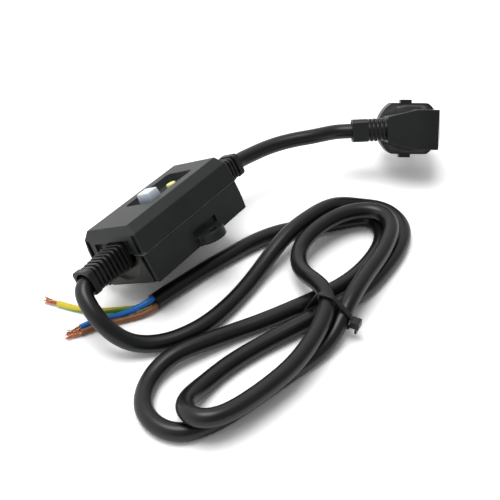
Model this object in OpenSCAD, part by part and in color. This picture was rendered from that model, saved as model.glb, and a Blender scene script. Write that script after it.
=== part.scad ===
// In-line residual-current device with an angled plug on a short lead and a tied load cord.
// X runs along the housing, -Y is the near side and Z is up. The housing leans back on its far ear,
// so its pieces are drawn level and then laid in place by in_housing().

/* [Housing] */
// Length of the upper shell at the parting line
housing_l = 75; // [74:1:90]
// Width of the upper shell at the parting line
housing_w = 43; // [42:1:54]
// Height of the lower shell, which is also the height of the cord axis
lower_h = 16; // [15.5:0.5:20]
// Height of the upper shell
upper_h = 15.5; // [15:0.5:20]
// Thickness of the side walls
wall = 2.1; // [1.8:0.1:3]
// Depth from the end of the upper shell to the cavity
end_wall = 4.1; // [3.8:0.1:6]
// Thickness of the floor of the lower shell
floor_t = 2; // [1.5:0.1:3]
// Thickness of the roof of the upper shell
roof_t = 2; // [1.5:0.1:3]
// Step by which the upper shell stands over the lower one
lip_step = 0.4; // [0.2:0.1:0.8]
// Draw-in of the lower shell from its rim to its base
lower_draft = 0.85; // [0.4:0.05:1.5]
// Draw-in of the upper shell from its rim to its shoulder
upper_draft = 1.3; // [0.5:0.1:2]
// Height of the sloped shoulder under the top face
shoulder_h = 4.5; // [3:0.5:6]
// Width of the shoulder along the long sides
shoulder_side = 4.2; // [3:0.1:5]
// Width of the shoulder at the ends
shoulder_end = 1.2; // [0.5:0.1:3]
// Corner radius of the housing in plan
corner_r = 2; // [1.5:0.5:6]
// Angle by which the housing leans back
housing_lean = 30; // [0:1:35]

/* [Ears and end faces] */
// Reach of each ear past the base
ear_reach = 9.5; // [8:0.5:14]
// Width of each ear
ear_w = 17; // [12:0.5:22]
// Thickness of each ear
ear_t = 5; // [2.5:0.5:6]
// Distance of each ear from the middle along the housing
ear_x = 4.5; // [0:0.5:10]
// Screw hole through each ear
ear_hole_d = 4.2; // [3:0.1:5]
// Distance of the screw hole from the base wall
ear_hole_y = 4.5; // [4:0.1:6]
// Height of the finger clearance above each ear
ear_pocket_h = 3.5; // [2:0.5:5]
// Width of the pocket round each strain relief
end_pocket_w = 26.5; // [20:0.5:28]
// Height of the pocket above the base
end_pocket_top = 24; // [23.5:0.5:25.5]
// Width of the grooves beside each pocket
end_groove_w = 2.6; // [1:0.1:3]
// Depth of the grooves beside each pocket
end_groove_depth = 1.9; // [1:0.1:2.2]

/* [Recess and buttons] */
// Length of the recess in the top
recess_l = 35; // [31:0.5:36]
// Width of the recess in the top
recess_w = 19; // [18:0.5:22]
// Middle of the recess along the housing
recess_x = 5.5; // [5:0.5:8]
// Depth of the recess to its panel
recess_depth = 4; // [3:0.5:5]
// Thickness of the panel in the recess
panel_t = 1.5; // [1:0.1:2]
// Length of the reset button
reset_l = 8; // [6:0.2:9]
// Width of the reset button
reset_w = 10; // [8:0.2:12]
// Height of the reset button above its panel
reset_h = 6.8; // [4:0.2:8]
// Draw-in of the reset button to its top face
reset_bevel = 0.5; // [0.5:0.05:2]
// Place of the reset button along the housing
reset_x = -2.5; // [-2.5:0.1:-1]
// Travel of the reset button
reset_travel = 2.5; // [1.5:0.1:3]
// Diameter of the test button
test_d = 5.3; // [5:0.1:7]
// Height of the test button above its panel
test_h = 2.4; // [1.5:0.1:4]
// Place of the test button along the housing
test_x = 13.5; // [12:0.1:15]
// Place of the test button across the housing
test_y = -0.5; // [-2:0.1:2]
// Travel of the test button
test_travel = 1.2; // [0.6:0.1:1.6]

/* [Strain reliefs and cords] */
// Diameter of both cords
cord_d = 8.6; // [7:0.1:8.8]
// Length of each relief from the end of the housing
relief_l = 23; // [20:1:40]
// Size of a relief at its root
relief_root = 14.4; // [13:0.1:16]
// Size of a relief at its end collar
relief_tip = 12.8; // [12.6:0.1:14]
// Number of ribs on a relief
relief_ribs = 7; // [3:1:9]
// Thickness of a rib
relief_rib_t = 1.5; // [1:0.1:2]
// Length of the end collar
collar_l = 3.6; // [3:0.2:8]
// Diameter of each insulated core
core_d = 3.1; // [2:0.1:3.2]
// Length of bare copper on a stripped core
copper_l = 8; // [4:0.5:12]
// Width of the cable tie
tie_w = 2.5; // [2:0.1:4]
// Thickness of the cable tie
tie_t = 1.1; // [0.8:0.1:1.2]

/* [Plug] */
// Diameter of the front of the plug
plug_d = 36.5; // [34:0.5:40]
// Distance between the flats of the front
plug_flats = 30; // [28:0.5:33]
// Depth of the front
plug_front_t = 17; // [15:0.5:19]
// Depth of the back body
plug_back_t = 18; // [16:0.5:22]
// Width of the back body at its far end
plug_back_w = 22.8; // [18:0.2:26]
// Diameter of a pin
pin_d = 4.8; // [4:0.1:5]
// Length of a pin
pin_l = 19; // [17:0.5:20]
// Distance between the pins
pin_pitch = 19; // [18:0.5:20]
// Length of the plug's own relief
plug_relief_l = 19.8; // [15:0.1:30]
// Bore of the earth socket
socket_d = 4.9; // [4.8:0.1:5.2]
// Angle by which the pins point down
plug_pitch = 30; // [10:1:45]
// Heading of the plug from its cord to its far end
plug_yaw = -56; // [-80:1:-30]

/* [Inside] */
// Thickness of the circuit board
board_t = 1.6; // [1:0.1:2]
// Height of the board's underside above the base
board_z = 6; // [5:0.5:7]
// Length of each cord clamp
clamp_l = 3; // [2.5:0.1:4]
// Length of each terminal block
terminal_l = 4; // [3.5:0.1:4.5]
// Distance between the poles of a terminal block
pole_pitch = 6.5; // [5.5:0.1:7]
// Outer diameter of the current transformer
toroid_d = 13; // [11:0.5:13.5]
// Length of the current transformer
toroid_l = 5; // [4:0.5:5.5]
// Length of the contact carrier
carrier_l = 12; // [10:0.5:12.5]
// Width of the contact carrier
carrier_w = 18; // [17:0.5:20]
// Distance between the two contact bars
bar_pitch = 13; // [12:0.5:14]
// Diameter of the trip plunger
plunger_d = 3.6; // [3:0.1:4]
// Travel of the trip plunger
trip_travel = 1.2; // [0.6:0.1:1.4]

/* [Hidden] */
$fn = 48;

// Clearances, written once
touch_gap = 0.3;
slide_fit = 0.05;
drop_fit = 0.2;
cut = 1;

// Colours as the photo shows them
plastic_black = [0.16, 0.17, 0.165];
rubber_black = [0.12, 0.125, 0.125];
panel_black = [0.09, 0.085, 0.11];
reset_colour = [0.86, 0.89, 0.95];
test_colour = [0.92, 0.92, 0.5];
metal_colour = [0.75, 0.76, 0.78];
brass_colour = [0.78, 0.63, 0.3];
copper_colour = [0.75, 0.45, 0.3];
board_colour = [0.1, 0.35, 0.2];
blue_colour = [0.13, 0.4, 0.78];
brown_colour = [0.55, 0.31, 0.18];
earth_colour = [0.75, 0.75, 0.15];

// Housing outline: half sizes at the base, the rims, the shoulder and the top
upper_half_l = housing_l / 2;
upper_half_w = housing_w / 2;
rim_half_l = upper_half_l - lip_step;
rim_half_w = upper_half_w - lip_step;
base_half_l = rim_half_l - lower_draft;
base_half_w = rim_half_w - lower_draft;
shoulder_half_l = upper_half_l - upper_draft;
shoulder_half_w = upper_half_w - upper_draft;
top_half_l = shoulder_half_l - shoulder_end;
top_half_w = shoulder_half_w - shoulder_side;
top_z = lower_h + upper_h;
shoulder_z = top_z - shoulder_h;
cavity_half_l = upper_half_l - end_wall;
cavity_half_w = base_half_w - wall;
end_skin = 1.4;
pocket_x = cavity_half_l + end_skin;
groove_wall = 1.8;
groove_y = rim_half_w - groove_wall - end_groove_w / 2;
groove_step = 1;

// Lean of the housing: its far ear touches the floor, and its bounding box is centred on Y
ear_tip_y = base_half_w + ear_reach;
lean_sin = sin(housing_lean);
lean_cos = cos(housing_lean);
seat_lift = ear_tip_y * lean_sin;
seat_shift = (ear_tip_y * lean_cos - shoulder_half_w * lean_cos - shoulder_z * lean_sin) / 2;

// Screws of the housing
housing_screw_d = 2.9;
housing_head_d = 5.6;
housing_head_t = 2;
housing_head_z = 1.2;
housing_screw_top = lower_h + 8;
screw_clear = 0.25;
boss_wall = 0.9;
boss_r = housing_head_d / 2 + screw_clear + boss_wall;
boss_sunk = 0.6;
boss_x = cavity_half_l - boss_r + boss_sunk;
boss_y = cavity_half_w - boss_r + boss_sunk;

// Gasket in the rim of the lower shell, left out where the reliefs pass
gasket_t = 1;
gasket_inset = 0.9;
gasket_break = end_pocket_w / 2 + 0.7;

// Recess and panel
panel_top = top_z - recess_depth;
panel_z = panel_top - panel_t;
ledge_t = 1.5;
ledge_z = panel_z - ledge_t;
ledge_w = 2;
recess_r = 2;
flange_t = 1.5;
flange_top = panel_z - touch_gap;
flange_lip = 1;

// Board and what stands on it
relief_flange = 16;
relief_flange_t = 1.5;
board_half_l = boss_x - boss_r - 0.4;
board_half_w = cavity_half_w - 1;
board_top = board_z + board_t;
clamp_x1 = cavity_half_l - relief_flange_t - drop_fit;
clamp_x0 = clamp_x1 - clamp_l;
clamp_half_w = 10.5;
clamp_h = relief_flange / 2 + drop_fit;
clamp_screw_y = 7.5;
clamp_screw_d = 2.4;
clamp_head_d = 4.6;
clamp_head_t = 1.6;
clamp_screw_l = 15;
carrier_x0 = reset_x - carrier_l / 2;
plunger_out = 1.2;
yoke_l = 6.3;
yoke_x1 = carrier_x0 - trip_travel - plunger_out;
yoke_x0 = yoke_x1 - yoke_l;
part_gap = 0.5;
terminal_x0 = part_gap - yoke_x0;
terminal_x1 = terminal_x0 + terminal_l;
core_room = clamp_x0 - terminal_x1;
terminal_half_w = pole_pitch + 3.5;
terminal_h = 12;
wire_hole_depth = 3;
wire_d = 2.4;
toroid_z = board_top + toroid_d / 2 + 0.1;
link_room = 3;
toroid_x = terminal_x0 - link_room - toroid_l / 2;
toroid_hole_r = 3;
winding_t = 1;
terminal_screw_d = 3;
terminal_screw_l = 4.5;
terminal_screw_z = toroid_z + wire_d / 2 + drop_fit + 0.1;
post_r = 2.4;
post_x = terminal_x0 - part_gap;
post_y = board_half_w - post_r - touch_gap;
board_screw_d = 2.2;
board_head_d = 4;
board_head_t = 1.4;

// Contact set under the reset button
contact_d = 2.4;
contact_t = 0.8;
contact_post = 3;
contact_post_h = 1.9;
bar_t = 0.8;
bar_w = 3;
bar_l = carrier_l + 4;
contact_span = bar_l - 3;
fixed_top = board_top + contact_post_h + contact_t;
bar_z = fixed_top + reset_travel + touch_gap + contact_t;
carrier_z = bar_z + bar_t;
carrier_h = 4.3;
carrier_top = carrier_z + carrier_h;
latch_t = 1;
latch_w = 5;
latch_drop = 2.5;
guide_d = 3.2;
guide_foot_d = 6.4;
guide_foot_t = 0.8;
guide_top = carrier_top + touch_gap - reset_travel - 0.4;
reset_stem_d = 4;
spring_wire = 0.7;
spring_r = 2.6;
spring_turns = 5;

// Trip solenoid beside the carrier
yoke_t = 1;
yoke_base_t = 1.2;
trip_z = carrier_z - 0.8;
bobbin_x0 = yoke_x0 + yoke_t + 0.1;
bobbin_x1 = yoke_x1 - yoke_t - 0.1;
bobbin_flange_r = trip_z - board_top - yoke_base_t - 0.1;
bobbin_flange_t = 0.7;
bobbin_wall = 0.75;
yoke_half_w = bobbin_flange_r;
yoke_top = trip_z + bobbin_flange_r;
plunger_tip = carrier_x0 - trip_travel - 0.5;
plunger_tail = bobbin_x0 + 1.8;
plunger_wire = 0.4;
plunger_spring_r = plunger_d / 2 - 0.6;

// Test button and its blade
test_stem_d = 3;
test_stem_l = 0.9;
test_stem_z = flange_top - flange_t - test_stem_l;
blade_t = 0.6;
blade_w = 3;
blade_top = test_stem_z - touch_gap;
blade_post_y = 9;
blade_foot = 1.9;

// Small parts on the board
varistor_d = 10;
varistor_t = 3.5;
varistor_y = carrier_w / 2 + 2.6;
chip_l = 8;
chip_w = 6;
chip_t = 2;
chip_x = board_head_d / 2 + part_gap + chip_l / 2 - post_x;
resistor_d = 2.6;
resistor_l = 8;
resistor_x = post_x - board_head_d / 2 - part_gap - resistor_l;
small_part_y = 12.5;

// Reliefs
cord_r = cord_d / 2;
bore_r = cord_r + slide_fit;
relief_neck = 11;
relief_root_t = 3;
relief_round = 2.5;
relief_rib_step = 0.8;
relief_sleeve_r = cord_r + 1;
relief_x1 = upper_half_l + relief_l;
collar_x0 = relief_x1 - collar_l;
root_x1 = pocket_x + relief_root_t;
rib_gap = (collar_x0 - root_x1 - relief_ribs * relief_rib_t) / (relief_ribs + 1);
mouth_gap = 1;
mouth_r = cord_r + mouth_gap;
mouth_l = collar_l - 0.2;

// Plug, in its own frame: x from its cord to its far end, z from its pins to its back
plug_x = 150.5;
plug_y = -58.6;
plug_lift = (plug_front_t + pin_l) * sin(plug_pitch) + (pin_pitch + pin_d) / 2 * cos(plug_pitch);
plug_rim = plug_d / 2;
plug_back_x0 = -15.3;
plug_flare_x = 1.2;
plug_back_x1 = 13.7;
plug_slope_x = -7.8;
plug_slope_drop = 7;
plug_sag = 3.3;
plug_neck_half = 7.3;
plug_cord_z = plug_back_t / 2;
plug_entry_x = plug_back_x0 - plug_relief_l;
plug_collar_l = 9.2;
plug_collar = 13;
plug_mouth_l = 3;
plug_ribs = 4;
plug_rib_t = 1.2;
plug_rib_gap = (plug_relief_l - plug_collar_l - plug_ribs * plug_rib_t) / (plug_ribs + 1);
plug_cord_sunk = 2.5;
plug_cord_end = plug_back_x0 + plug_cord_sunk;
plug_nub_x = -2.5;
plug_nub_w = 6.6;
plug_nub_h = 2;
plug_nub_l = 6;
bridge_half_x = 6.4;
bridge_half_y = pin_pitch / 2 + 3.5;
bridge_front = 5;
bridge_t = 6;
bridge_back_z = bridge_front + bridge_t - plug_front_t;
chamber_half_y = 5.2;
chamber_top = plug_back_t - 5;
pin_root_d = pin_d - 0.8;
clip_w = 5.8;
clip_t = 0.8;
clip_inset = 1;
clip_l = plug_front_t - plug_slope_drop - clip_inset;
socket_x = bridge_half_x + 3.7;
socket_wall = 0.85;
socket_l = 12;

// Places in the housing and in the plug, as points of the whole part
function housing_point(p) = [
    p.x,
    p.y * lean_cos + p.z * lean_sin + seat_shift,
    p.z * lean_cos - p.y * lean_sin + seat_lift];
function plug_point(p) =
    let (across = p.y * sin(plug_pitch) - p.z * cos(plug_pitch))
    [
        plug_x + p.x * cos(plug_yaw) - across * sin(plug_yaw),
        plug_y + p.x * sin(plug_yaw) + across * cos(plug_yaw),
        plug_lift + p.y * cos(plug_pitch) + p.z * sin(plug_pitch)];

// Place beside the plug's cord, which sags a little from the back body
function sagged(p) = [
    plug_back_x0 + (p.x - plug_back_x0) * cos(plug_sag) - p.y * sin(plug_sag),
    (p.x - plug_back_x0) * sin(plug_sag) + p.y * cos(plug_sag),
    p.z];
function plug_cord_point(x) = plug_point(sagged([x, 0, plug_cord_z]));

// Load cord: out of the housing, once round the hank on the floor, back on top, round again and under
load_route = concat(
    [housing_point([-clamp_x0, 0, lower_h]), housing_point([-44, 0, lower_h]), housing_point([-53, 0, lower_h]),
     housing_point([-57.4, 0, lower_h])],
    [[-61.8, 4.9, 28.4], [-65.2, 2.2, 27], [-67.4, -2.8, 24.2], [-68.6, -8.9, 20.2], [-68, -14.9, 15.2],
     [-65.2, -20.8, 9.9], [-59.8, -27, 6], [-50.5, -34.5, 4.4], [-40, -39.5, 4.4], [-30, -42.5, 4.4],
     [-15, -44, 4.4], [3, -43.5, 4.4], [20, -42, 6.5], [34, -42, 10.5], [47, -43, 13.6], [59, -45, 14],
     [69, -47, 14], [78, -49.5, 13], [87, -52.5, 9.5], [95, -58, 5.5], [100, -64.5, 4.4], [101, -72, 4.4],
     [98.5, -79.5, 4.4], [93.5, -86, 4.4], [86, -90.5, 4.4], [77, -93, 4.4], [67, -94.5, 4.4], [55, -95, 4.4],
     [43, -95, 4.4], [31, -94, 4.8], [20, -91, 5.8], [10, -87, 6.4], [-7, -80, 5.4], [-23, -73.5, 4.4],
     [-37, -69, 4.4], [-50, -66, 4.4], [-62, -65, 4.8], [-73, -65, 7.5], [-81.5, -68.5, 11], [-86, -75.5, 14],
     [-84, -83.5, 15], [-75, -89, 14.5], [-61, -92.5, 14], [-48.5, -95, 14], [-36, -96.5, 14], [-22, -96, 14.4],
     [-9, -94, 15], [1, -91.5, 15.8], [9, -87, 16.2], [14, -81, 16], [17, -74, 15], [20.5, -67, 12.5],
     [26, -60, 11], [34, -54.5, 11], [43.5, -52.5, 12.5], [54, -53.5, 13.8], [64, -55.5, 14], [72.5, -58.5, 14],
     [79.5, -63, 14], [84.5, -69, 14], [86, -76, 14], [83, -82.5, 14], [76.5, -87, 14], [67, -90, 14],
     [54, -92.5, 14], [39, -93.5, 14.3], [24, -95, 14.5], [13, -96.2, 12.6], [4, -97.4, 9.2], [-5, -98.4, 6],
     [-16, -97.5, 4.4], [-28, -94.5, 4.4], [-42, -91, 4.4], [-55, -88, 4.4], [-67, -85, 4.4], [-77, -81.5, 4.4],
     [-85.5, -77, 4.4], [-90.5, -71.5, 4.4], [-92.5, -64.5, 4.4], [-91.5, -57, 4.4], [-88, -50.5, 4.4],
     [-81.5, -45.5, 4.4], [-73.5, -42.5, 4.6], [-65.5, -42, 5.8], [-57.5, -43.5, 7], [-49, -47, 7],
     [-39, -51.5, 6], [-26, -57, 4.4], [-12.7, -64.3, 4.4], [0.7, -70.4, 4.4], [11.7, -75.4, 4.4],
     [22.5, -79.6, 4.4], [33.3, -83.4, 4.4], [46, -85.5, 4.4], [58, -85.5, 4.4], [68, -84.5, 4.4],
     [77, -82, 4.4], [84.5, -77.5, 4.4], [88.5, -71.5, 4.4], [88, -65, 4.4], [82, -59.5, 4.4],
     [74.5, -54, 4.4], [67, -47.5, 4.4], [60, -40.5, 4.4],
     [52.5, -34, 4.4], [43, -28.5, 4.4], [30, -24, 4.4], [15, -20.5, 4.4], [0, -17, 4.4], [-12, -15, 4.4],
     [-22.5, -13, 4.4], [-32.5, -11.5, 4.4]]);
load_steps = 2;
load_path = spline(load_route, load_steps);
load_end = load_route[len(load_route) - 1];

// Lead from the housing to the plug
lead_route = concat(
    [housing_point([clamp_x0, 0, lower_h]), housing_point([36, 0, lower_h]), housing_point([44, 0, lower_h]),
     housing_point([52, 0, lower_h]), housing_point([59, 0, lower_h])],
    [[66, 4.8, 28.9], [73, 2.5, 29.2], [82.4, -0.7, 29.7], [91.2, -5.4, 30.3], [99.4, -11.7, 31],
     [107, -19.2, 31.6]],
    [plug_cord_point(plug_entry_x - 11), plug_cord_point(plug_entry_x - 4), plug_cord_point(plug_entry_x + 4),
     plug_cord_point(plug_cord_end)]);
lead_path = spline(lead_route, 3);

// Stripped cores, which leave the cut end of the load cord square to it
load_way = unit(load_end - load_route[len(load_route) - 2]);
load_side = [load_way.y, -load_way.x, 0];
core_lead = 3;
function core_start(across, up) =
    load_end + slide_fit * load_way + [load_side.x * across, load_side.y * across, up];
function core_route(across, up, rest) =
    concat([core_start(across, up), core_start(across, up) + core_lead * load_way], rest);
blue_route = core_route(0.3, 2.25, [
    [-40, -8.2, 5.2], [-44.5, -4.6, 3.2], [-49, -1, 1.9], [-53.5, 3, 1.9], [-59, 6.2, 1.9], [-65, 8.6, 1.9]]);
earth_route = core_route(2.2, -1.1, [
    [-39.5, -5, 2.2], [-42.8, -1, 1.9], [-46, 2.6, 1.9], [-50, 7, 1.9], [-53.5, 12.6, 1.9], [-56, 18.5, 1.9],
    [-57.6, 24.5, 1.9], [-58.8, 29.6, 1.9]]);
brown_route = core_route(-2.2, -1.1, [
    [-40, -11.4, 2.2], [-44.5, -8.6, 1.9], [-49.5, -5, 1.9], [-54.5, -1.2, 1.9], [-60, 2.2, 1.9],
    [-67.5, 5.7, 1.9]]);
core_steps = 3;

// Cable tie across three runs of the hank: each run as its place along the strap, its height and its half slant
tie_place = [5, -89];
tie_turn = -7;
tie_runs = [[4.3, 6, 1.4], [0.1, 16, 1], [-8.2, 9.6, 0.5]];
tie_gap = 0.35;
tie_head = [4.6, 4.6, 4.2];
tie_tail_l = 4;

// Cubic spline near the points of a route, ending on its first and last point
function route_point(route, i) =
    i < 0 ? 2 * route[0] - route[1]
    : i >= len(route) ? 2 * route[len(route) - 1] - route[len(route) - 2]
    : route[i];
function spline_point(route, i, t) =
    (pow(1 - t, 3) * route_point(route, i - 1)
     + (3 * pow(t, 3) - 6 * pow(t, 2) + 4) * route_point(route, i)
     + (-3 * pow(t, 3) + 3 * pow(t, 2) + 3 * t + 1) * route_point(route, i + 1)
     + pow(t, 3) * route_point(route, i + 2)) / 6;
function spline(route, steps) = concat(
    [for (i = [0:len(route) - 2]) for (k = [0:steps - 1]) spline_point(route, i, k / steps)],
    [route[len(route) - 1]]);

// Frames carried along a path without twist
function unit(v) = v / norm(v);
function path_tangent(path, i) = unit(path[min(i + 1, len(path) - 1)] - path[max(i - 1, 0)]);
function square_to(v, t) = unit(v - (v * t) * t);
function path_sides(path) =
    let (n = len(path), start = path_tangent(path, 0), hint = abs(start.z) < 0.9 ? [0, 0, 1] : [1, 0, 0])
    [for (i = 0, side = square_to(hint, start); i < n;
          i = i + 1, side = i < n ? square_to(side, path_tangent(path, i)) : side) side];

// One closed tube along a path
module tube(path, radius, sides) {
    n = len(path);
    across = path_sides(path);
    points = [for (i = [0:n - 1]) let (t = path_tangent(path, i), u = across[i], v = cross(t, u))
        for (k = [0:sides - 1]) path[i] + radius * (cos(360 * k / sides) * u + sin(360 * k / sides) * v)];
    walls = [for (i = [0:n - 2]) for (k = [0:sides - 1])
        let (a = i * sides + k, b = i * sides + (k + 1) % sides)
        each [[a, a + sides, b + sides], [a, b + sides, b]]];
    first_cap = [for (k = [1:sides - 2]) [0, k, k + 1]];
    last = (n - 1) * sides;
    last_cap = [for (k = [1:sides - 2]) [last, last + k + 1, last + k]];
    polyhedron(points = points, faces = concat(walls, first_cap, last_cap));
}

// Helix along +Z between two heights, for a spring
function helix(z0, z1, radius, turns) =
    let (rings = 8 * turns)
    [for (i = [0:rings]) [radius * cos(360 * i / 8), radius * sin(360 * i / 8), z0 + (z1 - z0) * i / rings]];

// Least gap between a cord and itself, measured between points that lie well apart along it
function least_gap(path, diameter, skip) =
    min([for (i = [0:len(path) - 1 - skip]) min([for (j = [i + skip:len(path) - 1]) norm(path[i] - path[j])])])
    - diameter;

module in_housing() {
    translate([0, seat_shift, seat_lift]) rotate([-housing_lean, 0, 0]) children();
}

module in_plug() {
    translate([plug_x, plug_y, plug_lift]) rotate([90 - plug_pitch, 0, plug_yaw]) children();
}

// Rectangle with round corners
module rounded_plan(l, w, r) {
    square([l - 2 * r, w], center = true);
    square([l, w - 2 * r], center = true);
    for (x = [-1, 1]) for (y = [-1, 1]) translate([x * (l / 2 - r), y * (w / 2 - r)]) circle(r);
}

module rounded_slab(l, w, r, z0, z1) {
    translate([0, 0, z0]) linear_extrude(z1 - z0) rounded_plan(l, w, r);
}

// Box between two heights, centred on X and Y
module slab(l, w, z0, z1) {
    translate([-l / 2, -w / 2, z0]) cube([l, w, z1 - z0]);
}

// Block whose half sizes change with height: each row is [z, half length, half width]
module drafted_block(rows, r) {
    n = len(rows);
    l = 2 * max([for (row = rows) row[1]]);
    w = 2 * max([for (row = rows) row[2]]);
    intersection() {
        rotate([90, 0, 0]) linear_extrude(w + 2 * cut, center = true)
            polygon(concat([for (row = rows) [row[1], row[0]]],
                           [for (i = [1:n]) [-rows[n - i][1], rows[n - i][0]]]));
        rotate([90, 0, 90]) linear_extrude(l + 2 * cut, center = true)
            polygon(concat([for (row = rows) [row[2], row[0]]],
                           [for (i = [1:n]) [-rows[n - i][2], rows[n - i][0]]]));
        rounded_slab(l, w, r, rows[0][0], rows[n - 1][0]);
    }
}

module at_ends() {
    children();
    mirror([1, 0, 0]) children();
}

module at_corners(x, y) {
    for (i = [-1, 1]) for (k = [-1, 1]) translate([i * x, k * y, 0]) children();
}

// Hollows shared by both shells at the ends: pocket with a round bottom, grooves, way through for the relief
module end_cuts() {
    opening = relief_neck + 2 * drop_fit;
    reach = upper_half_l - pocket_x + cut;
    pocket_r = end_pocket_w / 2;
    groove_x = upper_half_l - end_groove_depth;
    at_ends() {
        translate([pocket_x, -pocket_r, lower_h - slide_fit])
            cube([reach, end_pocket_w, end_pocket_top - lower_h + slide_fit]);
        intersection() {
            translate([pocket_x, 0, lower_h]) rotate([0, 90, 0]) cylinder(h = reach, r = pocket_r);
            translate([pocket_x, -pocket_r, lower_h - pocket_r]) cube([reach, end_pocket_w, pocket_r]);
        }
        for (side = [-1, 1]) translate([groove_x, side * groove_y - end_groove_w / 2, 0]) {
            translate([0, 0, -cut]) cube([reach, end_groove_w, lower_h - groove_step + cut]);
            translate([0, 0, lower_h + groove_step])
                cube([reach, end_groove_w, shoulder_z - lower_h - 2 * groove_step]);
        }
        translate([cavity_half_l - cut, -opening / 2, lower_h - opening / 2])
            cube([end_skin + 2 * cut, opening, opening]);
    }
}

module gasket_ring(z0, z1) {
    l = 2 * (cavity_half_l + gasket_inset);
    w = 2 * (cavity_half_w + gasket_inset);
    difference() {
        rounded_slab(l + 2 * gasket_t, w + 2 * gasket_t, corner_r, z0, z1);
        rounded_slab(l, w, corner_r - gasket_t, z0 - cut, z1 + cut);
        slab(l + 4 * gasket_t, 2 * gasket_break, z0 - cut, z1 + cut);
    }
}

module ear() {
    round_r = ear_w / 2 - 1;
    linear_extrude(ear_t) intersection() {
        translate([-ear_w / 2, base_half_w - wall / 2]) square([ear_w, ear_reach + wall / 2]);
        union() {
            translate([0, ear_tip_y - round_r]) circle(round_r);
            translate([-ear_w / 2, base_half_w - wall / 2]) square([ear_w, ear_reach - round_r + wall / 2]);
        }
    }
}

// The far ear lies before the middle and the near ear behind it
module at_ears() {
    for (turn = [0, 180]) rotate([0, 0, turn]) translate([-ear_x, 0, 0]) children();
}

module lower_shell() {
    rim_rows = [[0, base_half_l, base_half_w], [lower_h, rim_half_l, rim_half_w]];
    color(plastic_black) in_housing() difference() {
        union() {
            difference() {
                drafted_block(rim_rows, corner_r);
                rounded_slab(2 * cavity_half_l, 2 * cavity_half_w, corner_r - 1, floor_t, lower_h + cut);
                at_ears() translate([-ear_w / 2 - 0.5, base_half_w - wall / 2, ear_t])
                    cube([ear_w + 1, wall + lower_draft + cut, ear_pocket_h]);
            }
            at_ears() ear();
            at_corners(boss_x, boss_y) cylinder(h = lower_h, r = boss_r);
            at_corners(post_x, post_y) cylinder(h = board_z, r = post_r);
            at_ends() translate([clamp_x0, -clamp_half_w, floor_t / 2])
                cube([clamp_l, 2 * clamp_half_w, lower_h - floor_t / 2]);
        }
        end_cuts();
        gasket_ring(lower_h - gasket_t, lower_h + cut);
        at_ears() translate([0, base_half_w + ear_hole_y, -cut]) cylinder(h = ear_t + 2 * cut, d = ear_hole_d);
        at_corners(boss_x, boss_y) {
            translate([0, 0, -cut]) cylinder(h = lower_h + 2 * cut, d = housing_screw_d + 2 * screw_clear);
            translate([0, 0, -cut])
                cylinder(h = housing_head_z + housing_head_t + cut, d = housing_head_d + 2 * screw_clear);
        }
        at_corners(post_x, post_y) translate([0, 0, floor_t])
            cylinder(h = board_z, d = board_screw_d + 2 * slide_fit);
        at_ends() {
            translate([clamp_x0 - cut, 0, lower_h]) rotate([0, 90, 0])
                cylinder(h = clamp_l + 2 * cut, r = bore_r);
            for (side = [-1, 1]) translate([(clamp_x0 + clamp_x1) / 2, side * clamp_screw_y, floor_t + 2])
                cylinder(h = lower_h, d = clamp_screw_d + 2 * slide_fit);
        }
    }
}

module upper_shell() {
    outer_rows = [[lower_h, upper_half_l, upper_half_w], [shoulder_z, shoulder_half_l, shoulder_half_w],
                  [top_z, top_half_l, top_half_w]];
    cavity_top = top_z - roof_t;
    well_l = recess_l + 2 * ledge_w;
    well_w = recess_w + 2 * ledge_w;
    color(plastic_black) in_housing() difference() {
        union() {
            difference() {
                drafted_block(outer_rows, corner_r);
                intersection() {
                    rounded_slab(2 * cavity_half_l, 2 * cavity_half_w, corner_r - 1, lower_h - cut, cavity_top);
                    rotate([90, 0, 90]) linear_extrude(housing_l, center = true)
                        polygon([[-cavity_half_w, lower_h - cut], [cavity_half_w, lower_h - cut],
                                 [cavity_half_w, shoulder_z - roof_t / 2], [top_half_w - roof_t, cavity_top],
                                 [roof_t - top_half_w, cavity_top], [-cavity_half_w, shoulder_z - roof_t / 2]]);
                }
            }
            translate([recess_x, 0, 0]) slab(well_l, well_w, ledge_z, top_z - roof_t / 2);
            at_corners(boss_x, boss_y) translate([0, 0, lower_h])
                cylinder(h = shoulder_z - lower_h, r = boss_r);
        }
        end_cuts();
        translate([recess_x, 0, 0]) {
            rounded_slab(recess_l, recess_w, recess_r, panel_z, top_z + cut);
            slab(recess_l - 2 * ledge_w, recess_w - 2 * ledge_w, ledge_z - cut, top_z);
        }
        at_corners(boss_x, boss_y) translate([0, 0, lower_h - cut])
            cylinder(h = housing_screw_top - lower_h + 2 * cut, d = housing_screw_d + 2 * slide_fit);
    }
}

module shell_gasket() {
    color(rubber_black) in_housing() gasket_ring(lower_h - gasket_t, lower_h);
}

module housing_screws() {
    seat = housing_head_z + housing_head_t;
    color(metal_colour) in_housing() at_corners(boss_x, boss_y) {
        translate([0, 0, housing_head_z]) cylinder(h = housing_head_t, d = housing_head_d);
        translate([0, 0, seat - slide_fit]) cylinder(h = housing_screw_top - seat, d = housing_screw_d);
    }
}

module button_panel() {
    color(panel_black) in_housing() difference() {
        translate([recess_x, 0, 0])
            rounded_slab(recess_l - 2 * drop_fit, recess_w - 2 * drop_fit, recess_r - drop_fit,
                         panel_z, panel_top);
        translate([reset_x, 0, 0])
            slab(reset_l + 2 * touch_gap, reset_w + 2 * touch_gap, panel_z - cut, panel_top + cut);
        translate([test_x, test_y, panel_z - cut]) cylinder(h = panel_t + 2 * cut, d = test_d + 2 * touch_gap);
    }
}

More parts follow.
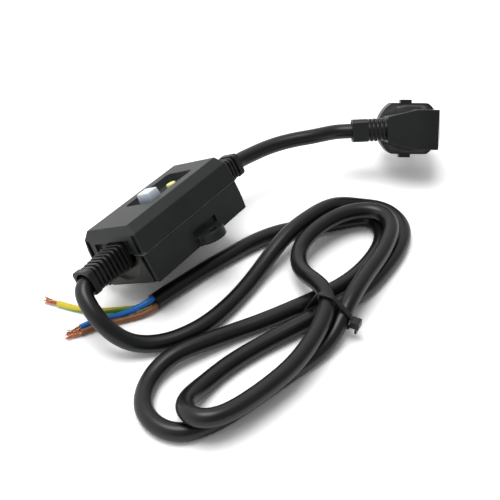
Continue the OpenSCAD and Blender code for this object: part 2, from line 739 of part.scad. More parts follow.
module reset_button() {
    half_l = reset_l / 2;
    half_w = reset_w / 2;
    bevel_z = panel_top + 1;
    cap_top = panel_top + reset_h;
    color(reset_colour) in_housing() translate([reset_x, 0, 0]) {
        intersection() {
            rotate([90, 0, 0]) linear_extrude(reset_w, center = true)
                polygon([[-half_l, flange_top - flange_t], [half_l, flange_top - flange_t], [half_l, bevel_z],
                         [half_l - reset_bevel, cap_top], [reset_bevel - half_l, cap_top], [-half_l, bevel_z]]);
            rotate([90, 0, 90]) linear_extrude(reset_l, center = true)
                polygon([[-half_w, flange_top - flange_t], [half_w, flange_top - flange_t], [half_w, bevel_z],
                         [half_w - reset_bevel, cap_top], [reset_bevel - half_w, cap_top], [-half_w, bevel_z]]);
        }
        slab(reset_l + 2 * flange_lip, reset_w + 2 * flange_lip, flange_top - flange_t, flange_top);
        translate([0, 0, carrier_top + touch_gap])
            cylinder(h = flange_top - carrier_top - touch_gap - flange_t / 2, d = reset_stem_d);
    }
}

module test_button() {
    color(test_colour) in_housing() translate([test_x, test_y, 0]) {
        translate([0, 0, flange_top - flange_t])
            cylinder(h = panel_top + test_h - flange_top + flange_t, d = test_d);
        translate([0, 0, flange_top - flange_t]) cylinder(h = flange_t, d = test_d + 2 * flange_lip);
        translate([0, 0, test_stem_z]) cylinder(h = flange_top - test_stem_z - flange_t / 2, d = test_stem_d);
    }
}

module test_blade() {
    color(brass_colour) in_housing() translate([test_x - blade_w / 2, 0, 0]) {
        translate([0, test_y - blade_w / 2, blade_top - blade_t])
            cube([blade_w, blade_post_y - test_y + blade_w / 2 + blade_t, blade_t]);
        translate([0, blade_post_y, board_top]) cube([blade_w, blade_t, blade_top - board_top]);
        translate([0, blade_post_y, board_top]) cube([blade_w, blade_foot, blade_t]);
    }
}

module circuit_board() {
    color(board_colour) in_housing() difference() {
        slab(2 * board_half_l, 2 * board_half_w, board_z, board_top);
        at_corners(post_x, post_y) translate([0, 0, board_z - cut])
            cylinder(h = board_t + 2 * cut, d = board_screw_d + 2 * screw_clear);
        translate([reset_x, 0, board_z - cut]) cylinder(h = board_t + 2 * cut, d = guide_d + 2 * slide_fit);
    }
}

module board_screws() {
    color(metal_colour) in_housing() at_corners(post_x, post_y) {
        translate([0, 0, board_top]) cylinder(h = board_head_t, d = board_head_d);
        translate([0, 0, floor_t + 0.5]) cylinder(h = board_top - floor_t, d = board_screw_d);
    }
}

module control_chip() {
    color(panel_black) in_housing() translate([chip_x, small_part_y, 0])
        slab(chip_l, chip_w, board_top, board_top + chip_t);
}

module varistor() {
    color(blue_colour) in_housing() translate([reset_x + 1, varistor_y, board_top + varistor_d / 2])
        rotate([-90, 0, 0]) cylinder(h = varistor_t, d = varistor_d);
}

module test_resistor() {
    color(earth_colour) in_housing()
        translate([resistor_x, small_part_y, board_top + resistor_d / 2])
        rotate([0, 90, 0]) cylinder(h = resistor_l, d = resistor_d);
}

module contact_carrier() {
    color(plastic_black) in_housing() difference() {
        union() {
            translate([reset_x, 0, 0]) slab(carrier_l, carrier_w, carrier_z, carrier_top);
            translate([carrier_x0, -latch_w / 2, carrier_z - latch_drop])
                cube([latch_t, latch_w, latch_drop + cut]);
        }
        translate([reset_x, 0, carrier_z - cut]) cylinder(h = carrier_h + 2 * cut, d = guide_d + 2 * slide_fit);
    }
}

module carrier_guide() {
    color(metal_colour) in_housing() translate([reset_x, 0, 0]) {
        translate([0, 0, board_z]) cylinder(h = guide_top - board_z, d = guide_d);
        translate([0, 0, board_top]) cylinder(h = guide_foot_t, d = guide_foot_d);
    }
}

module carrier_spring() {
    z0 = board_top + guide_foot_t + spring_wire / 2 + slide_fit;
    z1 = carrier_z - spring_wire / 2 - slide_fit;
    color(metal_colour) in_housing() translate([reset_x, 0, 0])
        tube(helix(z0, z1, spring_r, spring_turns), spring_wire / 2, 6);
}

module moving_contacts() {
    color(brass_colour) in_housing() for (side = [-1, 1]) translate([reset_x, side * bar_pitch / 2, 0]) {
        slab(bar_l, bar_w, bar_z, carrier_z);
        for (end = [-1, 1]) translate([end * contact_span / 2, 0, bar_z - contact_t])
            cylinder(h = contact_t + bar_t / 2, d = contact_d);
    }
}

module fixed_contacts() {
    color(brass_colour) in_housing() translate([reset_x, 0, 0]) at_corners(contact_span / 2, bar_pitch / 2) {
        slab(contact_post, contact_post, board_top, fixed_top - contact_t);
        translate([0, 0, board_top]) cylinder(h = fixed_top - board_top, d = contact_d);
    }
}

module trip_yoke() {
    color(metal_colour) in_housing() difference() {
        union() {
            translate([yoke_x0, -yoke_half_w, board_top])
                cube([yoke_x1 - yoke_x0, 2 * yoke_half_w, yoke_base_t]);
            for (x = [yoke_x0, yoke_x1 - yoke_t]) translate([x, -yoke_half_w, board_top])
                cube([yoke_t, 2 * yoke_half_w, yoke_top - board_top]);
        }
        translate([bobbin_x1, 0, trip_z]) rotate([0, 90, 0])
            cylinder(h = yoke_t + cut, d = plunger_d + 2 * touch_gap);
    }
}

module trip_bobbin() {
    sleeve_r = plunger_d / 2 + slide_fit + bobbin_wall;
    color(reset_colour) in_housing() translate([bobbin_x0, 0, trip_z]) rotate([0, 90, 0]) difference() {
        union() {
            cylinder(h = bobbin_x1 - bobbin_x0, r = sleeve_r);
            cylinder(h = bobbin_flange_t, r = bobbin_flange_r);
            translate([0, 0, bobbin_x1 - bobbin_x0 - bobbin_flange_t])
                cylinder(h = bobbin_flange_t, r = bobbin_flange_r);
        }
        translate([0, 0, -cut]) cylinder(h = bobbin_x1 - bobbin_x0 + 2 * cut, r = plunger_d / 2 + slide_fit);
    }
}

module trip_coil() {
    sleeve_r = plunger_d / 2 + slide_fit + bobbin_wall;
    coil_l = bobbin_x1 - bobbin_x0 - 2 * bobbin_flange_t - 2 * slide_fit;
    color(copper_colour) in_housing() translate([bobbin_x0 + bobbin_flange_t + slide_fit, 0, trip_z])
        rotate([0, 90, 0]) difference() {
            cylinder(h = coil_l, r = bobbin_flange_r - 0.4);
            translate([0, 0, -cut]) cylinder(h = coil_l + 2 * cut, r = sleeve_r + slide_fit);
        }
}

module trip_plunger() {
    color(metal_colour) in_housing() translate([plunger_tail, 0, trip_z]) rotate([0, 90, 0])
        cylinder(h = plunger_tip - plunger_tail, d = plunger_d);
}

module plunger_spring() {
    x0 = bobbin_x0 + plunger_wire / 2;
    x1 = plunger_tail - plunger_wire / 2 - slide_fit;
    color(metal_colour) in_housing() translate([0, 0, trip_z]) rotate([0, 90, 0])
        tube(helix(x0, x1, plunger_spring_r, 3), plunger_wire / 2, 6);
}

module toroid_ring(outer_r, inner_r, l) {
    translate([toroid_x, 0, toroid_z]) rotate([0, 90, 0]) rotate_extrude()
        translate([inner_r, -l / 2]) square([outer_r - inner_r, l]);
}

module transformer_core() {
    color(panel_black) in_housing()
        toroid_ring(toroid_d / 2 - winding_t, toroid_hole_r + winding_t, toroid_l - 2 * winding_t);
}

module transformer_winding() {
    color(copper_colour) in_housing() difference() {
        toroid_ring(toroid_d / 2, toroid_hole_r, toroid_l);
        toroid_ring(toroid_d / 2 - winding_t, toroid_hole_r + winding_t, toroid_l - 2 * winding_t);
    }
}

// Live and neutral pass through the transformer to the contacts
module line_links() {
    link_r = 0.8;
    hole_y = toroid_hole_r - link_r - 0.8;
    drop_x = reset_x + bar_l / 2 + 1.8;
    near_x = toroid_x + toroid_l / 2;
    far_x = toroid_x - toroid_l / 2;
    foot_y = bar_pitch / 2;
    color(brass_colour) in_housing() for (pole = [[pole_pitch, 1], [0, -1]]) {
        side = pole[1];
        route = [[terminal_x0 - slide_fit, pole[0], toroid_z], [terminal_x0 - 1.2, pole[0], toroid_z],
                 [near_x + 1.5, (pole[0] + side * hole_y) / 2, toroid_z],
                 [near_x + 0.5, side * hole_y, toroid_z],
                 [toroid_x, side * hole_y, toroid_z], [far_x - 0.6, side * hole_y, toroid_z],
                 [drop_x + 0.5, side * (hole_y + foot_y) / 2, toroid_z - 1],
                 [drop_x, side * foot_y, (toroid_z + board_top) / 2], [drop_x, side * foot_y, board_top + 1.5],
                 [drop_x, side * foot_y, board_top]];
        tube(spline(route, 2), link_r, 8);
    }
}

module earth_link() {
    link_r = 0.9;
    z = board_top + 1.6;
    run_y = -bar_pitch / 2 - bar_w / 2 - 2.6;
    near = terminal_x0 - link_room / 2;
    turn = near - 2 * link_r;
    route = [[terminal_x0 - slide_fit, -pole_pitch, z], [near, -pole_pitch, z], [turn, run_y, z], [0, run_y, z],
             [-turn, run_y, z], [-near, -pole_pitch, z], [slide_fit - terminal_x0, -pole_pitch, z]];
    color(earth_colour) in_housing() tube(spline(route, 3), link_r, 8);
}

module terminal_block() {
    difference() {
        translate([terminal_x0, -terminal_half_w, board_top])
            cube([terminal_l, 2 * terminal_half_w, terminal_h]);
        for (pole = [-1:1]) translate([0, pole * pole_pitch, 0]) {
            translate([terminal_x1 - wire_hole_depth, 0, toroid_z]) rotate([0, 90, 0])
                cylinder(h = wire_hole_depth + cut, r = wire_d / 2 + drop_fit);
            translate([(terminal_x0 + terminal_x1) / 2, 0, terminal_screw_z])
                cylinder(h = terminal_h, d = terminal_screw_d + 2 * slide_fit);
        }
    }
}

module line_terminals() {
    color(reset_colour) in_housing() terminal_block();
}

module load_terminals() {
    color(reset_colour) in_housing() mirror([1, 0, 0]) terminal_block();
}

module terminal_screws() {
    color(metal_colour) in_housing() at_ends() for (pole = [-1:1])
        translate([(terminal_x0 + terminal_x1) / 2, pole * pole_pitch, terminal_screw_z])
            cylinder(h = terminal_screw_l, d = terminal_screw_d);
}

// Three cores from the end of a cord to the terminal block
module inner_cores() {
    fan = [[2.1, 1.2, 1], [0, -2.2, 0], [-2.1, 1.2, -1]];
    for (core = fan) {
        z0 = lower_h + core[1];
        y1 = core[2] * pole_pitch;
        route = [[clamp_x0 - slide_fit, core[0], z0], [clamp_x0 - 1.2, core[0], z0],
                 [clamp_x0 - core_room / 2, (core[0] + y1) / 2, (z0 + toroid_z) / 2],
                 [terminal_x1 + 1.2, y1, toroid_z], [terminal_x1, y1, toroid_z],
                 [terminal_x1 - wire_hole_depth + drop_fit, y1, toroid_z]];
        tube(spline(route, 3), wire_d / 2, 8);
    }
}

module line_cores() {
    color(blue_colour) in_housing() inner_cores();
}

module load_cores() {
    color(brown_colour) in_housing() mirror([1, 0, 0]) inner_cores();
}

module cord_clamp() {
    difference() {
        translate([clamp_x0, -clamp_half_w, lower_h]) cube([clamp_l, 2 * clamp_half_w, clamp_h]);
        translate([clamp_x0 - cut, 0, lower_h]) rotate([0, 90, 0]) cylinder(h = clamp_l + 2 * cut, r = bore_r);
        for (side = [-1, 1]) translate([(clamp_x0 + clamp_x1) / 2, side * clamp_screw_y, lower_h - cut])
            cylinder(h = clamp_h + 2 * cut, d = clamp_screw_d + 2 * slide_fit);
    }
}

module line_clamp() {
    color(plastic_black) in_housing() cord_clamp();
}

module load_clamp() {
    color(plastic_black) in_housing() mirror([1, 0, 0]) cord_clamp();
}

module clamp_screws() {
    seat = lower_h + clamp_h;
    color(metal_colour) in_housing() at_ends() for (side = [-1, 1])
        translate([(clamp_x0 + clamp_x1) / 2, side * clamp_screw_y, 0]) {
            translate([0, 0, seat]) cylinder(h = clamp_head_t, d = clamp_head_d);
            translate([0, 0, seat - clamp_screw_l]) cylinder(h = clamp_screw_l + slide_fit, d = clamp_screw_d);
        }
}

// Square plate with round corners, standing across the cord
module relief_plate(size, x0, x1) {
    translate([x0, 0, lower_h]) rotate([90, 0, 90])
        linear_extrude(x1 - x0) rounded_plan(size, size, relief_round);
}

module relief() {
    rib_pitch = relief_rib_t + rib_gap;
    difference() {
        union() {
            relief_plate(relief_flange, cavity_half_l - relief_flange_t, cavity_half_l);
            relief_plate(relief_neck, cavity_half_l - cut / 2, pocket_x + cut / 2);
            relief_plate(relief_root, pocket_x, root_x1);
            for (i = [0:relief_ribs - 1]) {
                x0 = root_x1 + rib_gap + i * rib_pitch;
                size = relief_root + (relief_tip - relief_rib_step - relief_root) * (i + 1) / relief_ribs;
                relief_plate(size, x0, x0 + relief_rib_t);
            }
            translate([root_x1 - cut, 0, lower_h]) rotate([0, 90, 0])
                cylinder(h = collar_x0 - root_x1 + 2 * cut, r = relief_sleeve_r);
            relief_plate(relief_tip, collar_x0, relief_x1);
        }
        translate([cavity_half_l - relief_flange_t - cut, 0, lower_h]) rotate([0, 90, 0])
            cylinder(h = relief_x1, r = bore_r);
        translate([relief_x1 - mouth_l, 0, lower_h]) rotate([0, 90, 0])
            cylinder(h = mouth_l + cut, r = mouth_r);
    }
}

module line_relief() {
    color(rubber_black) in_housing() relief();
}

module load_relief() {
    color(rubber_black) in_housing() mirror([1, 0, 0]) relief();
}

module lead_cord() {
    color(rubber_black) tube(lead_path, cord_r, 10);
}

module load_cord() {
    color(rubber_black) tube(load_path, cord_r, 10);
}

module blue_core() {
    color(blue_colour) tube(spline(blue_route, core_steps), core_d / 2, 8);
}

module brown_core() {
    color(brown_colour) tube(spline(brown_route, core_steps), core_d / 2, 8);
}

module earth_core() {
    color(earth_colour) tube(spline(earth_route, core_steps), core_d / 2, 8);
}

// Bare strands carry on straight from the end of each core
module copper_ends() {
    strand_r = core_d / 2 - 0.5;
    color(copper_colour) for (route = [blue_route, brown_route, earth_route]) {
        tip = route[len(route) - 1];
        way = unit(tip - route[len(route) - 2]);
        tube([for (i = [0:2]) tip + way * copper_l * i / 2], strand_r, 8);
    }
}

module tie_outline(grow) {
    hull() for (run = tie_runs) for (side = [-1, 1])
        translate([run[0] + side * run[2], run[1]]) circle(cord_r + grow, $fn = 32);
}

module cable_tie() {
    last = tie_runs[len(tie_runs) - 1];
    outer = last[0] - last[2] - cord_r - tie_gap - tie_t;
    head_z = last[1] - tie_head.z / 2;
    color(rubber_black) translate([tie_place.x, tie_place.y, 0]) rotate([0, 0, -tie_turn]) {
        translate([-tie_w / 2, 0, 0]) rotate([90, 0, 90]) linear_extrude(tie_w) difference() {
            tie_outline(tie_gap + tie_t);
            tie_outline(tie_gap);
        }
        translate([-tie_head.x / 2, outer - tie_head.y + tie_t, head_z]) cube(tie_head);
        translate([-tie_w / 2, outer - tie_head.y / 2, head_z - tie_tail_l])
            cube([tie_w, tie_t, tie_tail_l + cut]);
    }
}

module plug_plate(size, x0, x1) {
    translate([x0, 0, plug_cord_z]) rotate([90, 0, 90])
        linear_extrude(x1 - x0) rounded_plan(size, size, relief_round);
}

// Back of the plug: straight at its far edge, and flaring from there to the round rim of the front
module plug_back() {
    half_w = plug_back_w / 2;
    foot = -plug_slope_drop;
    intersection() {
        translate([0, 0, foot]) linear_extrude(plug_back_t - foot)
            polygon([[plug_back_x0, -plug_neck_half], [plug_flare_x, -half_w], [plug_rim, -half_w],
                     [plug_rim, half_w], [plug_flare_x, half_w], [plug_back_x0, plug_neck_half]]);
        rotate([90, 0, 0]) linear_extrude(plug_back_w + 2 * cut, center = true)
            polygon([[-plug_rim, foot - cut], [plug_rim, foot - cut], [plug_rim, 0],
                     [plug_back_x1, plug_back_t], [-plug_rim, plug_back_t]]);
        translate([0, 0, foot - cut]) cylinder(h = plug_back_t - foot + 2 * cut, d = plug_d);
    }
}

// Front of the plug: a disc with two flats, which slopes away behind its nubs on the cord's side
module plug_front() {
    intersection() {
        translate([0, 0, -plug_front_t]) cylinder(h = plug_front_t, d = plug_d);
        slab(plug_d, plug_flats, -plug_front_t, 0);
        rotate([90, 0, 0]) linear_extrude(plug_d, center = true)
            polygon([[-plug_rim - cut, -plug_front_t - cut], [plug_rim + cut, -plug_front_t - cut],
                     [plug_rim + cut, cut], [plug_slope_x, cut], [plug_slope_x, 0],
                     [-plug_rim - cut, -plug_slope_drop]]);
    }
}

module in_sag() {
    translate([plug_back_x0, 0, 0]) rotate([0, 0, plug_sag]) translate([-plug_back_x0, 0, 0]) children();
}

module plug_body() {
    rib_pitch = plug_rib_t + plug_rib_gap;
    color(plastic_black) in_plug() difference() {
        union() {
            plug_front();
            for (side = [-1, 1])
                translate([plug_nub_x - plug_nub_w / 2, side * plug_flats / 2 - plug_nub_h, -plug_nub_l])
                cube([plug_nub_w, 2 * plug_nub_h, plug_nub_l]);
            plug_back();
            in_sag() {
                plug_plate(plug_collar, plug_entry_x, plug_entry_x + plug_collar_l);
                translate([plug_entry_x, 0, plug_cord_z]) rotate([0, 90, 0])
                    cylinder(h = plug_relief_l + cut, r = relief_sleeve_r);
                for (i = [0:plug_ribs - 1]) {
                    x0 = plug_entry_x + plug_collar_l + plug_rib_gap + i * rib_pitch;
                    plug_plate(plug_collar, x0, x0 + plug_rib_t);
                }
            }
        }
        in_sag() translate([plug_entry_x - cut, 0, plug_cord_z]) rotate([0, 90, 0]) {
            cylinder(h = plug_cord_end - plug_entry_x + cut, r = bore_r);
            cylinder(h = plug_mouth_l + cut, r = mouth_r);
        }
        translate([plug_cord_end - touch_gap, -chamber_half_y, bridge_back_z])
            cube([bridge_half_x - plug_cord_end + touch_gap, 2 * chamber_half_y, chamber_top - bridge_back_z]);
        slab(2 * bridge_half_x, 2 * bridge_half_y, bridge_back_z - bridge_t, bridge_back_z);
        for (side = [-1, 1]) translate([0, side * pin_pitch / 2, -plug_front_t - cut])
            cylinder(h = bridge_front + 2 * cut, d = pin_root_d + 2 * slide_fit);
        for (side = [0, 180]) rotate([0, 0, side])
            translate([plug_d / 2 - clip_t - clip_inset / 2, -clip_w / 2 - slide_fit, -plug_front_t - cut])
            cube([plug_d, clip_w + 2 * slide_fit, clip_l]);
        translate([socket_x, 0, -plug_front_t - cut])
            cylinder(h = socket_l + cut, r = socket_d / 2 + socket_wall + slide_fit);
    }
}

module pin_bridge() {
    color(reset_colour) in_plug() difference() {
        slab(2 * bridge_half_x - 2 * slide_fit, 2 * bridge_half_y - 2 * slide_fit, bridge_back_z - bridge_t,
             bridge_back_z);
        for (side = [-1, 1]) translate([0, side * pin_pitch / 2, bridge_back_z - bridge_t - cut])
            cylinder(h = bridge_t + cut - 1, d = pin_root_d + 2 * slide_fit);
    }
}

module contact_pins() {
    color(metal_colour) in_plug() for (side = [-1, 1])
        translate([0, side * pin_pitch / 2, -plug_front_t]) {
            translate([0, 0, -pin_l]) cylinder(h = pin_l, d = pin_d);
            translate([0, 0, -slide_fit]) cylinder(h = bridge_front + bridge_t - 1 + slide_fit, d = pin_root_d);
        }
}

module earth_clips() {
    color(metal_colour) in_plug() for (side = [0, 180]) rotate([0, 0, side])
        translate([plug_d / 2 - clip_t - clip_inset / 2, -clip_w / 2, -plug_front_t])
        cube([clip_t, clip_w, clip_l - 1]);
}

module earth_socket() {
    color(metal_colour) in_plug() translate([socket_x, 0, -plug_front_t]) difference() {
        cylinder(h = socket_l - 0.1, r = socket_d / 2 + socket_wall);
        translate([0, 0, -cut]) cylinder(h = socket_l - 1 + cut, d = socket_d);
    }
}

// Cores inside the plug, from the end of the lead to the back of the pin bridge
module plug_cores() {
    color(brown_colour) in_plug() for (core = [[2.1, 1.2, 0], [-2.1, 1.2, 0], [0, -2.2, 3.5]]) {
        foot = [core[2], core[0] * 1.6, bridge_back_z + slide_fit];
        start = sagged([plug_cord_end + slide_fit, core[0], plug_cord_z + core[1]]);
        route = [start, sagged([plug_cord_end + 3, core[0], plug_cord_z + core[1]]),
                 start + [(foot.x - start.x) * 0.6, core[0] * 0.3, -1.5],
                 foot + [-1.5, 0, 6], foot + [0, 0, 2.5], foot];
        tube(spline(route, 3), wire_d / 2, 8);
    }
}

echo(load_cord_least_gap = least_gap(spline(load_route, 5), cord_d, 25));  // load_cord

lower_shell();
upper_shell();
shell_gasket();
housing_screws();
button_panel();
reset_button();
test_button();
test_blade();
circuit_board();
board_screws();
control_chip();
varistor();
test_resistor();
contact_carrier();
carrier_guide();
carrier_spring();
moving_contacts();
fixed_contacts();
trip_yoke();
trip_bobbin();
trip_coil();
trip_plunger();
plunger_spring();
transformer_core();
transformer_winding();
line_links();
earth_link();
line_terminals();
load_terminals();
terminal_screws();
line_cores();
load_cores();
line_clamp();
load_clamp();
clamp_screws();
line_relief();
load_relief();
lead_cord();
load_cord();
blue_core();
brown_core();
earth_core();
copper_ends();
cable_tie();
plug_body();
pin_bridge();
contact_pins();
earth_clips();
earth_socket();
plug_cores();
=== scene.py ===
import math
import random

import bmesh
import bpy
from mathutils import Matrix, Vector
from mathutils.bvhtree import BVHTree


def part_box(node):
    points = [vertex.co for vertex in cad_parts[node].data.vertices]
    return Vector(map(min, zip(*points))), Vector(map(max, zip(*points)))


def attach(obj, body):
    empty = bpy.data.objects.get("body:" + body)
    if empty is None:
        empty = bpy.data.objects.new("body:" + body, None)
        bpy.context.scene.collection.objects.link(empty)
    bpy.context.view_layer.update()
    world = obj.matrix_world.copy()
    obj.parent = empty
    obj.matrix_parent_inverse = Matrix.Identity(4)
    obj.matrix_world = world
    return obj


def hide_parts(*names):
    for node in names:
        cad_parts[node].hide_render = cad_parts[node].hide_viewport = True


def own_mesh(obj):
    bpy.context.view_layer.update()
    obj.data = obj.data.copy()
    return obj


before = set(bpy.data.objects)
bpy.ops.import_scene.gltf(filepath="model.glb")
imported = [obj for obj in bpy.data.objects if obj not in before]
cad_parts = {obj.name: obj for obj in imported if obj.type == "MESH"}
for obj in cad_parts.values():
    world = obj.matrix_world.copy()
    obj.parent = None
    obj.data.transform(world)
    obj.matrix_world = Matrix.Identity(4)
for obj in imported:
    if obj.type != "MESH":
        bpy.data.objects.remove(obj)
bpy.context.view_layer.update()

# Camera and studio: one camera looks down on the part from its near left, over a white table.
# The room is bright behind the part and dark behind the camera, with one broad lamp above.
# The camera sees the table brighter than the part does, so that it turns white as in the photo.
camera_data = bpy.data.cameras.new("camera")
camera_data.sensor_width = 36
camera_data.lens = 63.3
camera = bpy.data.objects.new("camera", camera_data)
camera.location = (-0.2695, -0.2334, 0.3080)
looks_at = Vector((-0.0173, -0.0595, 0.0509))
camera.rotation_euler = (looks_at - camera.location).to_track_quat("-Z", "Y").to_euler()
bpy.context.scene.collection.objects.link(camera)
bpy.context.scene.camera = camera
bpy.context.scene.view_settings.view_transform = "Standard"

table_mesh = bpy.data.meshes.new("table")
table_bm = bmesh.new()
bmesh.ops.create_grid(table_bm, x_segments=1, y_segments=1, size=4)
table_bm.to_mesh(table_mesh)
table_bm.free()
table = bpy.data.objects.new("table", table_mesh)
bpy.context.scene.collection.objects.link(table)
table_paper = bpy.data.materials.new("table_paper")
table_paper.use_nodes = True
paper_nodes = table_paper.node_tree.nodes
paper_shader = paper_nodes["Principled BSDF"]
paper_shader.inputs["Roughness"].default_value = 0.9
paper_shader.inputs["Specular IOR Level"].default_value = 0.1
paper_lights = (0.95, 0.95, 0.95, 1)
paper_shows = (1.4, 1.4, 1.4, 1)
paper_seen = paper_nodes.new("ShaderNodeLightPath")
paper_shade = paper_nodes.new("ShaderNodeMix")
paper_shade.data_type = "RGBA"
paper_shade.inputs["A"].default_value = paper_lights
paper_shade.inputs["B"].default_value = paper_shows
table_paper.node_tree.links.new(paper_seen.outputs["Is Camera Ray"], paper_shade.inputs["Factor"])
table_paper.node_tree.links.new(paper_shade.outputs["Result"], paper_shader.inputs["Base Color"])
table_mesh.materials.append(table_paper)

room = bpy.data.worlds.new("room")
room.use_nodes = True
bpy.context.scene.world = room
room_nodes = room.node_tree.nodes
room_way = room_nodes.new("ShaderNodeTexCoord")
room_split = room_nodes.new("ShaderNodeSeparateXYZ")
room_fade = room_nodes.new("ShaderNodeMapRange")
room_fade.inputs["From Min"].default_value = -0.6
room_fade.inputs["From Max"].default_value = 0.6
room_fade.inputs["To Min"].default_value = 0.24
room_fade.inputs["To Max"].default_value = 1.0
room.node_tree.links.new(room_way.outputs["Generated"], room_split.inputs["Vector"])
room.node_tree.links.new(room_split.outputs["Y"], room_fade.inputs["Value"])
room.node_tree.links.new(room_fade.outputs["Result"], room_nodes["Background"].inputs["Strength"])
room_nodes["Background"].inputs["Color"].default_value = (1, 1, 1, 1)

lamp_data = bpy.data.lights.new("broad_lamp", "AREA")
lamp_data.shape = "DISK"
lamp_data.size = 1.0
lamp_data.energy = 12
lamp = bpy.data.objects.new("broad_lamp", lamp_data)
lamp.location = (-0.1, 0.1, 1.5)
lamp.rotation_euler = (Vector((0, -0.05, 0)) - lamp.location).to_track_quat("-Z", "Y").to_euler()
bpy.context.scene.collection.objects.link(lamp)

# Load cord: three-core flex in a black rubber sheath, extruded round. It leaves the housing, is laid
# in a loose tied hank on the table, and ends cut square under the housing.
cord_radius = 0.0043
load_route = [
    (-28.7, 5.385, 28.731), (-44, 5.385, 28.731), (-53, 5.385, 28.731), (-57.4, 5.385, 28.731),
    (-61.8, 4.9, 28.4), (-65.2, 2.2, 27), (-67.4, -2.8, 24.2), (-68.6, -8.9, 20.2), (-68, -14.9, 15.2),
    (-65.2, -20.8, 9.9), (-59.8, -27, 6), (-50.5, -34.5, 4.4), (-40, -39.5, 4.4), (-30, -42.5, 4.4),
    (-15, -44, 4.4), (3, -43.5, 4.4), (20, -42, 6.5), (34, -42, 10.5), (47, -43, 13.6), (59, -45, 14),
    (69, -47, 14), (78, -49.5, 13), (87, -52.5, 9.5), (95, -58, 5.5), (100, -64.5, 4.4), (101, -72, 4.4),
    (98.5, -79.5, 4.4), (93.5, -86, 4.4), (86, -90.5, 4.4), (77, -93, 4.4), (67, -94.5, 4.4),
    (55, -95, 4.4), (43, -95, 4.4), (31, -94, 4.8), (20, -91, 5.8), (10, -87, 6.4), (-7, -80, 5.4),
    (-23, -73.5, 4.4), (-37, -69, 4.4), (-50, -66, 4.4), (-62, -65, 4.8), (-73, -65, 7.5),
    (-81.5, -68.5, 11), (-86, -75.5, 14), (-84, -83.5, 15), (-75, -89, 14.5), (-61, -92.5, 14),
    (-48.5, -95, 14), (-36, -96.5, 14), (-22, -96, 14.4), (-9, -94, 15), (1, -91.5, 15.8), (9, -87, 16.2),
    (14, -81, 16), (17, -74, 15), (20.5, -67, 12.5), (26, -60, 11), (34, -54.5, 11), (43.5, -52.5, 12.5),
    (54, -53.5, 13.8), (64, -55.5, 14), (72.5, -58.5, 14), (79.5, -63, 14), (84.5, -69, 14),
    (86, -76, 14), (83, -82.5, 14), (76.5, -87, 14), (67, -90, 14), (54, -92.5, 14), (39, -93.5, 14.3),
    (24, -95, 14.5), (13, -96.2, 12.6), (4, -97.4, 9.2), (-5, -98.4, 6), (-16, -97.5, 4.4),
    (-28, -94.5, 4.4), (-42, -91, 4.4), (-55, -88, 4.4), (-67, -85, 4.4), (-77, -81.5, 4.4),
    (-85.5, -77, 4.4), (-90.5, -71.5, 4.4), (-92.5, -64.5, 4.4), (-91.5, -57, 4.4), (-88, -50.5, 4.4),
    (-81.5, -45.5, 4.4), (-73.5, -42.5, 4.6), (-65.5, -42, 5.8), (-57.5, -43.5, 7), (-49, -47, 7),
    (-39, -51.5, 6), (-26, -57, 4.4), (-12.7, -64.3, 4.4), (0.7, -70.4, 4.4), (11.7, -75.4, 4.4),
    (22.5, -79.6, 4.4), (33.3, -83.4, 4.4), (46, -85.5, 4.4), (58, -85.5, 4.4), (68, -84.5, 4.4),
    (77, -82, 4.4), (84.5, -77.5, 4.4), (88.5, -71.5, 4.4), (88, -65, 4.4), (82, -59.5, 4.4),
    (74.5, -54, 4.4), (67, -47.5, 4.4), (60, -40.5, 4.4), (52.5, -34, 4.4), (43, -28.5, 4.4),
    (30, -24, 4.4), (15, -20.5, 4.4), (0, -17, 4.4), (-12, -15, 4.4), (-22.5, -13, 4.4),
    (-32.5, -11.5, 4.4)]


def laid_line(name, routes, radius, rings, roundness):
    """Curve with one smooth line through each route, which is given in millimetres."""
    curve = bpy.data.curves.new(name, "CURVE")
    curve.dimensions = "3D"
    curve.twist_mode = "MINIMUM"
    curve.bevel_depth = radius
    curve.bevel_resolution = roundness
    curve.use_fill_caps = True
    for route in routes:
        line = [Vector(point) / 1000 for point in route]
        line = [2 * line[0] - line[1]] + line + [2 * line[-1] - line[-2]]
        spline = curve.splines.new("NURBS")
        spline.points.add(len(line) - 1)
        for point, place in zip(spline.points, line):
            point.co = (*place, 1)
        spline.order_u = 4
        spline.use_endpoint_u = False
        spline.resolution_u = rings
    piece = bpy.data.objects.new(name, curve)
    bpy.context.scene.collection.objects.link(piece)
    return piece


